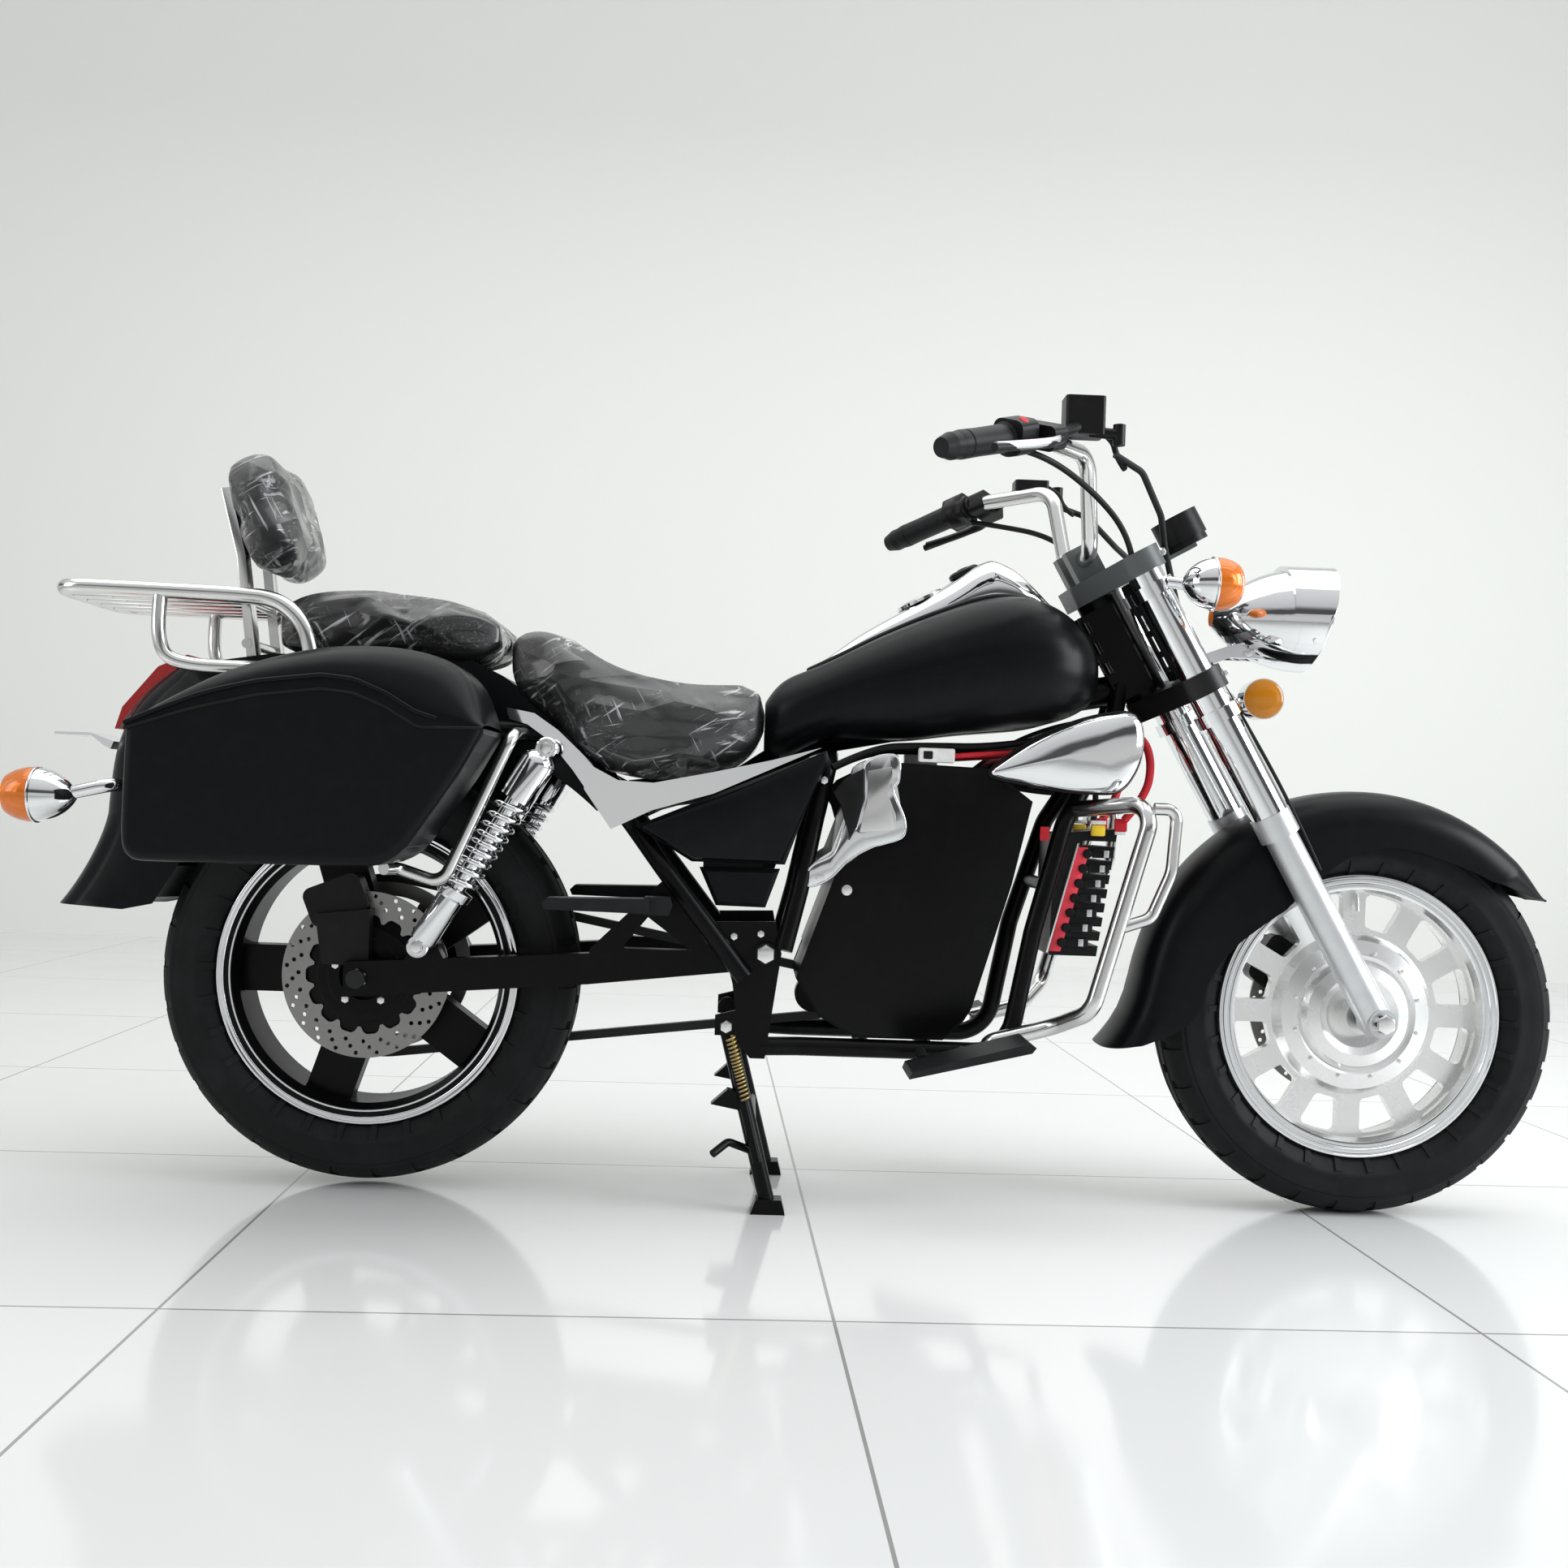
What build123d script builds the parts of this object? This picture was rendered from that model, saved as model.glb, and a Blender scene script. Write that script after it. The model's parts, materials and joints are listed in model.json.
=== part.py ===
"""Electric cruiser motorcycle on its centre stand.

The row frame has +X forward, +Y to the rider's left and +Z up, with the floor at Z = 0.
Stations along the machine are measured forward from the rear axle, and at() shifts them
into the row frame, whose origin is under the middle of the machine's box.
"""

import os
from math import atan2, cos, degrees, radians, sin

from build123d import *

os.makedirs("parts", exist_ok=True)

# ---------------------------------------------------------------- driving dimensions, mm
origin_station = 678.0  # the row origin, forward of the rear axle
seat_gap = 0.3  # between pieces that rest on each other
turn_gap = 0.05  # radial running clearance of an axle in its bore

wheelbase = 1541.0
front_tyre_radius = 311.0
front_tyre_width = 120.0
front_flange_radius = 221.0
rear_tyre_radius = 321.0
rear_tyre_width = 150.0
rear_flange_radius = 230.0
rear_wheel_lift = 7.0  # the centre stand holds the rear tyre this far off the floor
axle_radius = 9.0

rake = 29.4  # degrees from the vertical
fork_offset = 55.0  # fork tubes ahead of the steering axis
fork_half_spacing = 112.0
fork_length = 798.0  # from the front axle to the top of the tubes

rear_axle_z = rear_wheel_lift + rear_tyre_radius
front_axle_z = front_tyre_radius


# ---------------------------------------------------------------- helpers
def at(x, y, z):
    """A point in the row frame, from its station ahead of the rear axle."""
    return Vector(x - origin_station, y, z)


def side_plane(y=0.0):
    """The upright plane along the machine at y. Local x is the station, local y is Z."""
    return Plane(origin=at(0, y, 0), x_dir=(1, 0, 0), z_dir=(0, -1, 0))


def hub_plane(x, z, y=0.0):
    """The side plane with its origin on a wheel's axis."""
    return Plane(origin=at(x, y, z), x_dir=(1, 0, 0), z_dir=(0, -1, 0))


def axle_section(x, z):
    """The plane through a wheel's axis. Local x is Y, local y is the radius."""
    return Plane(origin=at(x, 0, z), x_dir=(0, 1, 0), z_dir=(1, 0, 0))


def axle_axis(x, z):
    return Axis(at(x, 0, z), (0, 1, 0))


def bar(points, radius, bend=0.0):
    """A round bar along straight runs joined by arcs. bend is one radius or a list of them."""
    with BuildPart() as made:
        with BuildLine() as path:
            if len(points) > 2:
                FilletPolyline(*points, radius=bend)
            else:
                Line(*points)
        with BuildSketch(Plane(origin=path.line @ 0, z_dir=path.line % 0)):
            Circle(radius)
        sweep(path=path.wire())
    return made.part


def slab(outline, y_inner, y_outer, bend=0.0):
    """A flat plate with the given side outline, between two Y values."""
    with BuildPart() as made:
        with BuildSketch(side_plane(y_inner)) as sketch:
            with BuildLine():
                Polyline(*outline, close=True)
            make_face()
            if bend:
                fillet(sketch.vertices(), radius=bend)
        extrude(amount=y_inner - y_outer)
    return made.part


def rod(start, end, radius):
    """A straight round bar."""
    return bar([start, end], radius)


def finish(piece, name):
    piece.label = name
    export_step(piece, f"parts/{name}.step")


def both_sides(*pieces):
    """The given pieces and their mirror images, as one part."""
    with BuildPart() as made:
        for piece in pieces:
            add(piece)
        mirror(about=Plane.XZ)
    return made.part


# ---------------------------------------------------------------- steering geometry
up_x, up_z = -sin(radians(rake)), cos(radians(rake))  # along the steering axis, upwards
ahead_x, ahead_z = cos(radians(rake)), sin(radians(rake))  # square to it, forwards


def on_fork(t, ahead=0.0, y=0.0):
    """A point t along the fork tubes above the front axle, and ahead of them."""
    return at(
        wheelbase + t * up_x + ahead * ahead_x, y, front_axle_z + t * up_z + ahead * ahead_z
    )


def on_steering(t, ahead=0.0, y=0.0):
    """As on_fork, but measured from the steering axis."""
    return on_fork(t, ahead - fork_offset, y)


def fork_plane(t, ahead=0.0):
    """The plane square to the fork. Local x is ahead, local y is Y."""
    return Plane(origin=on_fork(t, ahead), x_dir=(ahead_x, 0, ahead_z), z_dir=(up_x, 0, up_z))


# ================================================================ wheels
bead_half_front = 36.0
bead_half_rear = 50.0
flange_height = 17.0
flange_width = 6.0


def tyre(x, z, radius, width, flange_radius, bead_half):
    seat = flange_radius - flange_height + seat_gap
    lip = flange_radius + 1.5
    bulge = (lip + radius) / 2
    shoulder = radius - 0.16 * width
    with BuildPart() as made:
        with BuildSketch(axle_section(x, z)):
            with BuildLine():
                Line((-bead_half, seat), (bead_half, seat))
                Line((bead_half, seat), (bead_half, lip))
                ThreePointArc((bead_half, lip), (width / 2, bulge), (0.44 * width, shoulder))
                ThreePointArc((0.44 * width, shoulder), (0, radius), (-0.44 * width, shoulder))
                ThreePointArc((-0.44 * width, shoulder), (-width / 2, bulge), (-bead_half, lip))
                Line((-bead_half, lip), (-bead_half, seat))
            make_face()
        revolve(axis=axle_axis(x, z))
    return made.part


finish(
    tyre(wheelbase, front_axle_z, front_tyre_radius, front_tyre_width,
         front_flange_radius, bead_half_front),
    "front_tyre",
)
finish(
    tyre(0, rear_axle_z, rear_tyre_radius, rear_tyre_width,
         rear_flange_radius, bead_half_rear),
    "rear_tyre",
)


def rim_barrel(flange_radius, bead_half, depth):
    """Half outline of a rim's barrel as (Y, radius), mirrored by the caller."""
    seat = flange_radius - flange_height
    edge = bead_half + seat_gap
    return [
        (-edge - flange_width, flange_radius), (-edge, flange_radius), (-edge, seat),
        (edge, seat), (edge, flange_radius), (edge + flange_width, flange_radius),
        (edge + flange_width, seat - 6), (edge - 10, seat - depth),
        (-edge + 10, seat - depth), (-edge - flange_width, seat - 6),
    ]


hub_half_front = 60.0
# the front wheel's dished face as (radius, half thickness)
front_face = [(201, 9), (128, 9), (117, 25), (94, 31), (88, 28), (80, 37), (62, 43),
              (50, 38), (32, 34), (27, hub_half_front)]
window_outer, window_inner, window_count, spoke_width = 190.0, 136.0, 12, 36.0

with BuildPart() as front_rim:
    with BuildSketch(axle_section(wheelbase, front_axle_z)):
        with BuildLine():
            Polyline(*rim_barrel(front_flange_radius, bead_half_front, 11), close=True)
        make_face()
        with BuildLine():
            Polyline(
                *[(-half, radius) for radius, half in front_face],
                (-hub_half_front, axle_radius + turn_gap),
                (hub_half_front, axle_radius + turn_gap),
                *[(half, radius) for radius, half in reversed(front_face)],
                close=True,
            )
        make_face()
    revolve(axis=axle_axis(wheelbase, front_axle_z))
    with BuildSketch(hub_plane(wheelbase, front_axle_z)) as windows:
        Circle(window_outer)
        Circle(window_inner, mode=Mode.SUBTRACT)
        with PolarLocations(window_outer / 2, window_count):
            Rectangle(window_outer, spoke_width, mode=Mode.SUBTRACT)
        fillet(windows.vertices(), radius=9)
    extrude(amount=front_tyre_width, both=True, mode=Mode.SUBTRACT)
finish(front_rim.part, "front_rim")

hub_half_rear = 62.0
rear_spokes, rear_spoke_width, rear_spoke_half = 5, 72.0, 17.0
rear_hub_radius = 72.0
rear_barrel_inner = rear_flange_radius - flange_height - 13
with BuildPart() as rear_rim:
    with BuildSketch(axle_section(0, rear_axle_z)):
        with BuildLine():
            Polyline(*rim_barrel(rear_flange_radius, bead_half_rear, 13), close=True)
        make_face()
    revolve(axis=axle_axis(0, rear_axle_z))
    with BuildSketch(hub_plane(0, rear_axle_z)):
        with PolarLocations(rear_barrel_inner / 2 + 5, rear_spokes, start_angle=36):
            Rectangle(rear_barrel_inner - 10, rear_spoke_width)
    extrude(amount=rear_spoke_half, both=True)
    with BuildSketch(hub_plane(0, rear_axle_z)):
        Circle(rear_hub_radius)
    extrude(amount=hub_half_rear, both=True)
    with BuildSketch(hub_plane(0, rear_axle_z)):
        Circle(axle_radius + turn_gap)
    extrude(amount=hub_half_rear, both=True, mode=Mode.SUBTRACT)
finish(rear_rim.part, "rear_rim")

disc_thickness = 5.0


def brake_disc(x, z, y_near, outward, outer, inner, cover_radius, holes):
    """A drilled disc that lies on the hub's end, with its carrier. outward is -1 or 1."""
    with BuildPart() as made:
        with BuildSketch(Plane(origin=at(x, y_near, z), x_dir=(1, 0, 0), z_dir=(0, outward, 0))):
            Circle(outer)
            Circle(cover_radius, mode=Mode.SUBTRACT)
            for ring in range(2):
                with PolarLocations(inner + (outer - inner) * (0.34 + 0.36 * ring), holes,
                                    start_angle=ring * 180 / holes):
                    Circle(3.6, mode=Mode.SUBTRACT)
        extrude(amount=disc_thickness)
    return made.part


rear_disc_radius, rear_disc_inner = 127.0, 92.0
front_disc_radius, front_disc_inner = 140.0, 100.0
finish(
    brake_disc(0, rear_axle_z, -hub_half_rear, -1, rear_disc_radius, rear_disc_inner,
               38, 18),
    "rear_disc",
)
finish(
    brake_disc(wheelbase, front_axle_z, hub_half_front, 1, front_disc_radius,
               front_disc_inner, 40, 18),
    "front_disc",
)


# ================================================================ fork and front end
slider_radius, slider_top = 25.0, 330.0
collar_radius, collar_top = 31.0, 356.0
cover_radius, cover_top = 29.5, 562.0
fork_tube_radius = 26.5
lower_clamp_t, upper_clamp_t, clamp_height = 562.0, 768.0, 34.0
stem_radius = 14.0
axle_boss_radius, axle_boss_half = 22.0, 26.0
hub_spacer_radius = 14.0


def fork_cylinder(t_low, t_high, radius, side, ahead=0.0):
    return rod(
        on_fork(t_low, ahead, side * fork_half_spacing),
        on_fork(t_high, ahead, side * fork_half_spacing),
        radius,
    )


slider_pieces = [
    fork_cylinder(-12, slider_top, slider_radius, -1),
    fork_cylinder(slider_top - 12, collar_top, collar_radius, -1),
    rod(at(wheelbase, -fork_half_spacing - axle_boss_half, front_axle_z),
        at(wheelbase, -fork_half_spacing + axle_boss_half, front_axle_z), axle_boss_radius),
]
with BuildPart() as fork_sliders:
    add(both_sides(*slider_pieces))
    with BuildSketch(hub_plane(wheelbase, front_axle_z)):
        Circle(axle_radius + seat_gap)
    extrude(amount=2 * fork_half_spacing, both=True, mode=Mode.SUBTRACT)
finish(fork_sliders.part, "fork_sliders")

finish(
    both_sides(
        fork_cylinder(collar_top + seat_gap, cover_top - seat_gap, cover_radius, -1),
        fork_cylinder(cover_top - 10, upper_clamp_t + clamp_height - 4, fork_tube_radius, -1),
    ),
    "fork_tubes",
)

axle_reach = fork_half_spacing + axle_boss_half + seat_gap
with BuildPart() as front_axle:
    add(rod(at(wheelbase, -axle_reach - 8, front_axle_z),
            at(wheelbase, axle_reach + 8, front_axle_z), axle_radius))
    for side in (-1, 1):
        add(rod(at(wheelbase, side * (hub_half_front + disc_thickness + seat_gap), front_axle_z),
                at(wheelbase, side * (fork_half_spacing - axle_boss_half - seat_gap),
                   front_axle_z), hub_spacer_radius))
        add(rod(at(wheelbase, side * axle_reach, front_axle_z),
                at(wheelbase, side * (axle_reach + 8), front_axle_z), hub_spacer_radius))
finish(front_axle.part, "front_axle")

boss_radius = 36.0
riser_t, riser_half_y, riser_centre_y = 832.0, 14.0, 34.0
handlebar_radius = 12.5
pod_bracket_reach = 122.0
handlebar_ends = [(828, -380, 1100), (957, -262, 1149), (1066, -140, 1150), (1088, -90, 1008)]
bar_bends = [80, 45, 38]
handlebar_points = [at(*p) for p in handlebar_ends]
handlebar_points[-1] = on_steering(riser_t, 0, -90)
mirrored_points = [Vector(p.X, -p.Y, p.Z) for p in reversed(handlebar_points)]
handlebar = bar(handlebar_points + mirrored_points, handlebar_radius,
                bar_bends + bar_bends[::-1])
finish(handlebar, "handlebar")

with BuildPart() as fork_clamps:
    with BuildSketch(fork_plane(lower_clamp_t)):
        with BuildSketch(mode=Mode.PRIVATE) as lower_outline:
            with Locations((0, -fork_half_spacing), (0, fork_half_spacing)):
                Circle(boss_radius)
            with Locations((-fork_offset, 0)):
                Circle(boss_radius)
        make_hull(lower_outline.sketch.edges())
    extrude(amount=clamp_height)
    with BuildSketch(fork_plane(upper_clamp_t)):
        with BuildSketch(mode=Mode.PRIVATE) as upper_outline:
            with Locations((0, -fork_half_spacing), (0, fork_half_spacing)):
                Circle(boss_radius)
            with Locations((-fork_offset - 22, -40), (-fork_offset - 22, 40)):
                Circle(20)
        make_hull(upper_outline.sketch.edges())
    extrude(amount=clamp_height)
    with BuildSketch(fork_plane(lower_clamp_t, -fork_offset)):
        Circle(stem_radius)
    extrude(amount=upper_clamp_t - lower_clamp_t)
    # risers that hold the handlebar over the steering axis
    with BuildSketch(fork_plane(upper_clamp_t + clamp_height, -fork_offset)):
        with Locations((0, -riser_centre_y), (0, riser_centre_y)):
            Rectangle(46, 2 * riser_half_y)
    extrude(amount=riser_t + 22 - upper_clamp_t - clamp_height)
    # instrument bracket ahead of the upper clamp, lamp bracket ahead of the lower one
    with BuildSketch(fork_plane(upper_clamp_t + 2)):
        with Locations((pod_bracket_reach / 2, 0)):
            Rectangle(pod_bracket_reach, 44)
    extrude(amount=6)
    with BuildSketch(fork_plane(lower_clamp_t)):
        with Locations((0, -fork_half_spacing), (0, fork_half_spacing)):
            Circle(fork_tube_radius + seat_gap)
    extrude(amount=fork_length, mode=Mode.SUBTRACT)
    add(rod(on_steering(riser_t, 0, -90), on_steering(riser_t, 0, 90),
            handlebar_radius + seat_gap), mode=Mode.SUBTRACT)
finish(fork_clamps.part, "fork_clamps")

grip_end, grip_inner = handlebar_points[0], handlebar_points[1]
grip_axis = (grip_inner - grip_end).normalized()
grip_ahead = (Vector(1, 0, 0) - grip_axis * grip_axis.X).normalized()


def grip_plane(along, forward=0.0, upward=0.0):
    """A plane square to the right grip, along mm inboard of its end. Local x is forward."""
    grip_up = grip_axis.cross(grip_ahead)
    return Plane(
        origin=grip_end + grip_axis * along + grip_ahead * forward + grip_up * upward,
        x_dir=grip_ahead,
        z_dir=grip_axis,
    )


grip_radius, grip_length, bar_weight_length = 19.0, 122.0, 18.0
bar_clearance = handlebar_radius + seat_gap
with BuildPart() as grip:
    with BuildSketch(grip_plane(0)):
        Circle(grip_radius)
    extrude(amount=grip_length)
    with BuildSketch(grip_plane(0)):
        Circle(grip_radius)
    with BuildSketch(grip_plane(-bar_weight_length)):
        Circle(0.72 * grip_radius)
    loft()
    with BuildSketch(grip_plane(-seat_gap)):
        Circle(bar_clearance)
    extrude(amount=grip_length + 1, mode=Mode.SUBTRACT)
finish(both_sides(grip.part), "grips")

switch_start, switch_length = grip_length + seat_gap, 38.0
perch_start, perch_length = 172.0, 30.0
mirror_hole_radius, mirror_hole_depth, mirror_boss_radius = 5.0, 18.0, 9.0
mirror_boss = (1092, -228)
mirror_boss_top = 1176.0
with BuildPart() as control:
    with BuildSketch(grip_plane(switch_start)):
        with Locations((4, -2)):
            RectangleRounded(52, 50, 14)
    extrude(amount=switch_length)
    with BuildSketch(grip_plane(switch_start + switch_length - 1)):
        Circle(17)
    extrude(amount=perch_start - switch_start - switch_length + 2)
    with BuildSketch(grip_plane(perch_start)):
        with Locations((18, 0)):
            RectangleRounded(64, 36, 10)
    extrude(amount=perch_length)
    # brake lever, outwards from the perch, ahead of the grip
    add(bar(
        [grip_plane(perch_start + 12, 52, 0).origin, grip_plane(perch_start - 30, 64, 0).origin,
         grip_plane(18, 62, -6).origin],
        6.0, 30,
    ))
    # fluid reservoir, upright on the perch
    with BuildSketch(Plane.XY.offset(1160)):
        with Locations(at(1042, -214, 0)):
            RectangleRounded(58, 44, 6)
    extrude(amount=56)
    with BuildSketch(Plane.XY.offset(mirror_boss_top - mirror_hole_depth - 12)):
        with Locations(at(*mirror_boss, 0)):
            Circle(mirror_boss_radius)
    extrude(amount=mirror_hole_depth + 12)
    add(rod(at(1050, -222, 1166), at(*mirror_boss, 1162), 8))
    add(rod(at(986, -276, 1144), at(1034, -224, 1172), 9))
    add(bar(handlebar_points, bar_clearance, bar_bends[:2]), mode=Mode.SUBTRACT)
    with BuildSketch(Plane.XY.offset(mirror_boss_top)):
        with Locations(at(*mirror_boss, 0)):
            Circle(mirror_hole_radius)
    extrude(amount=-mirror_hole_depth, mode=Mode.SUBTRACT)
finish(both_sides(control.part), "controls")

hose_radius = 5.0
hose_route = [at(1092, -205, 1138), at(1138, -186, 1118), at(1178, -146, 1062),
              on_fork(790, 52, -92), on_fork(700, 40, -50), on_fork(660, 16, -42),
              on_fork(lower_clamp_t + clamp_height + seat_gap, 16, -42)]
finish(
    both_sides(bar(hose_route, hose_radius, [30, 40, 40, 24, 24])),
    "hoses",
)

pod_radius, pod_height, pod_ahead = 38.0, 50.0, 114.0
with BuildPart() as speedometer:
    with BuildSketch(fork_plane(upper_clamp_t + 8 + seat_gap, pod_ahead)):
        Circle(pod_radius - 3)
    extrude(amount=pod_height)
    with BuildSketch(fork_plane(upper_clamp_t + 8 + seat_gap + 10, pod_ahead)):
        Circle(pod_radius)
    extrude(amount=pod_height - 8)
finish(speedometer.part, "speedometer")

# ---------------------------------------------------------------- headlamp
lamp_x, lamp_z, lamp_radius = 1468.0, 931.0, 82.0
lamp_wall = 3.0
lamp_axis = Axis(at(lamp_x, 0, lamp_z), (1, 0, 0))


def lamp_half(inset):
    """The shell's outline as (station, Z) above its axis, moved in by inset."""
    r = lamp_radius - inset
    front, shoulder, back = lamp_x + 24, lamp_x - 20, lamp_x - 168 + inset
    with BuildPart() as made:
        with BuildSketch(side_plane()):
            with BuildLine():
                Polyline((back, lamp_z), (front, lamp_z), (front, lamp_z + r),
                         (shoulder, lamp_z + r))
                ThreePointArc((shoulder, lamp_z + r), (lamp_x - 100 + inset, lamp_z + 0.8 * r),
                              (back, lamp_z + 14))
                Line((back, lamp_z + 14), (back, lamp_z))
            make_face()
        revolve(axis=lamp_axis)
    return made.part


face_tilt = 13.5
lens_face = Plane(origin=at(lamp_x, 0, lamp_z), x_dir=(0, 1, 0),
                  z_dir=(cos(radians(face_tilt)), 0, -sin(radians(face_tilt))))
lens_thickness, bowl_depth = 5.0, 42.0
bowl_radius = lamp_radius - lamp_wall
foot_t = lower_clamp_t + clamp_height + seat_gap
lamp_arm_outline = [(p.X + origin_station, p.Z) for p in (
    on_fork(foot_t), on_fork(foot_t, 37), at(lamp_x - 142, 0, 866), at(lamp_x - 87, 0, 866),
    at(lamp_x - 87, 0, 900), at(lamp_x - 147, 0, 884), on_fork(foot_t + 24))]
lamp_arm_inner, lamp_arm_outer = 16.0, 28.0
with BuildPart() as headlamp:
    add(lamp_half(0))
    # peak over the lens
    with BuildSketch(Plane(origin=at(lamp_x - 60, 0, lamp_z), x_dir=(0, 1, 0),
                           z_dir=(1, 0, 0))):
        Circle(lamp_radius + 4)
        with Locations((0, -lamp_radius - 24)):
            Rectangle(4 * lamp_radius, 2.6 * lamp_radius, mode=Mode.SUBTRACT)
    extrude(amount=88)
    # two arms down to the top of the lower clamp
    add(slab(lamp_arm_outline, -lamp_arm_inner, -lamp_arm_outer))
    add(slab(lamp_arm_outline, lamp_arm_outer, lamp_arm_inner))
    with BuildSketch(Plane(origin=at(lamp_x - bowl_depth, 0, lamp_z), x_dir=(0, 1, 0),
                           z_dir=(1, 0, 0))):
        Circle(bowl_radius)
    extrude(amount=2 * bowl_depth, mode=Mode.SUBTRACT)
    with BuildSketch(lens_face):
        Rectangle(4 * lamp_radius, 4 * lamp_radius)
    extrude(amount=80, mode=Mode.SUBTRACT)
finish(headlamp.part, "headlamp")

with BuildPart() as headlamp_lens:
    with BuildSketch(Plane(origin=lens_face.origin - lens_face.z_dir * (lens_thickness + 1),
                           x_dir=(0, 1, 0), z_dir=lens_face.z_dir)):
        Rectangle(4 * lamp_radius, 4 * lamp_radius)
    extrude(amount=lens_thickness)
    with BuildSketch(Plane(origin=at(lamp_x - bowl_depth, 0, lamp_z), x_dir=(0, 1, 0),
                           z_dir=(1, 0, 0))):
        Circle(bowl_radius - seat_gap)
    extrude(amount=200, mode=Mode.INTERSECT)
finish(headlamp_lens.part, "headlamp_lens")

# ---------------------------------------------------------------- turn and side lamps at the front
signal_t, signal_radius, signal_half_length = 740.0, 35.0, 42.0
front_signal = (1247, -172, 959)
side_lamp_t, side_lamp_radius = 526.0, 31.0
side_lamp = (1348, -104, 795)


def bullet(x, y, z, radius, front, back):
    """A bullet lamp body along X with its flat lens end at back, which is signed like front."""
    sign = 1 if front > back else -1
    with BuildPart() as made:
        with BuildSketch(side_plane(y)):
            with BuildLine():
                Polyline((x + front, z), (x + back, z), (x + back, z + 0.82 * radius),
                         (x + back + sign * 14, z + radius))
                ThreePointArc((x + back + sign * 14, z + radius),
                              (x + 0.55 * front, z + 0.8 * radius), (x + front, z))
            make_face()
        revolve(axis=Axis(at(x, y, z), (1, 0, 0)))
    return made.part


def fork_ring(t, radius, height):
    """A clamp ring round the right fork tube."""
    with BuildPart() as made:
        with BuildSketch(fork_plane(t - height / 2)):
            with Locations((0, -fork_half_spacing)):
                Circle(radius + 7)
                Circle(radius + seat_gap, mode=Mode.SUBTRACT)
        extrude(amount=height)
    return made.part


front_lamp_pieces = [
    bullet(*front_signal, signal_radius, -signal_half_length, signal_half_length),
    fork_ring(signal_t, fork_tube_radius, 20),
    rod(on_fork(signal_t, 18, -fork_half_spacing - fork_tube_radius),
        at(front_signal[0] - 8, -150, front_signal[2]), 9),
    rod(at(side_lamp[0], side_lamp[1] - 22, side_lamp[2]),
        at(side_lamp[0], side_lamp[1] + 8, side_lamp[2]), side_lamp_radius),
    fork_ring(side_lamp_t, cover_radius, 20),
    rod(on_fork(side_lamp_t, 33, -104), at(side_lamp[0] - 6, -100, side_lamp[2] + 2), 9),
]
with BuildPart() as front_lamp:
    for piece in front_lamp_pieces:
        add(piece)
    add(fork_cylinder(collar_top, cover_top, cover_radius + seat_gap, -1), mode=Mode.SUBTRACT)
    add(fork_cylinder(cover_top, fork_length, fork_tube_radius + seat_gap, -1),
        mode=Mode.SUBTRACT)
finish(both_sides(front_lamp.part), "front_lamps")

# ---------------------------------------------------------------- front fender
fender_half_width, fender_wall = 80.0, 2.6
front_crown, front_shoulder, front_skirt = 351.0, 322.0, 200.0
fender_boss_t = 240.0


def arch_section(x, z, half, crown, shoulder, skirt, inset, low, high):
    """A U-shaped fender section swept round a wheel from angle low to high, degrees from +X."""
    half, crown, shoulder = half - inset, crown - inset, shoulder - inset
    start = Plane(origin=at(x, 0, z), x_dir=(0, 1, 0),
                  z_dir=(sin(radians(low)), 0, -cos(radians(low))))
    with BuildPart() as made:
        with BuildSketch(start):
            with BuildLine():
                Polyline((-half, shoulder), (-half, skirt), (half, skirt), (half, shoulder))
                ThreePointArc((half, shoulder), (0, crown), (-half, shoulder))
            make_face()
        revolve(axis=Axis(at(x, 0, z), (0, -1, 0)), revolution_arc=high - low)
    return made.part


front_fender_edge = [
    (1840, 500), (1728, 529), (1649, 560), (1583, 576), (1539, 574), (1467, 530), (1408, 474),
    (1361, 440), (1306, 385), (1275, 307), (1254, 285), (1207, 263), (1100, 254), (1100, 760),
    (1900, 760),
]
fender_low, fender_high = 32.0, 190.0
with BuildPart() as front_fender:
    add(arch_section(wheelbase, front_axle_z, fender_half_width, front_crown, front_shoulder,
                     front_skirt, 0, fender_low, fender_high))
    add(arch_section(wheelbase, front_axle_z, fender_half_width, front_crown, front_shoulder,
                     front_skirt - 20, fender_wall, fender_low - 2, fender_high + 2),
        mode=Mode.SUBTRACT)
    with BuildSketch(side_plane()):
        with BuildLine():
            Polyline(*front_fender_edge, close=True)
        make_face()
    extrude(amount=2 * fender_half_width, both=True, mode=Mode.INTERSECT)
    for side in (-1, 1):
        boss = on_fork(fender_boss_t)
        add(rod(Vector(boss.X, side * (fender_half_width - fender_wall), boss.Z),
                Vector(boss.X, side * (fork_half_spacing - slider_radius - seat_gap), boss.Z),
                12))


def flare(inset):
    """The rear edge of the front fender turns out behind the wheel like a tail."""
    with BuildPart() as made:
        with BuildSketch(side_plane()):
            with BuildLine():
                top, tip = (1206 + inset, 430), (1138 + inset, 256 - 4 * inset)
                ThreePointArc(top, (1188 + inset, 335), tip)
                Polyline(tip, (1236 + 8 * inset, 256 - 4 * inset), (1262 + 8 * inset, 430), top)
            make_face()
        extrude(amount=fender_half_width - inset, both=True)
    return made.part


with BuildPart() as tail:
    add(flare(0))
    add(flare(fender_wall), mode=Mode.SUBTRACT)
with BuildPart() as front_fender_whole:
    add(front_fender.part)
    add(tail.part)
finish(front_fender_whole.part, "front_fender")

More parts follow.
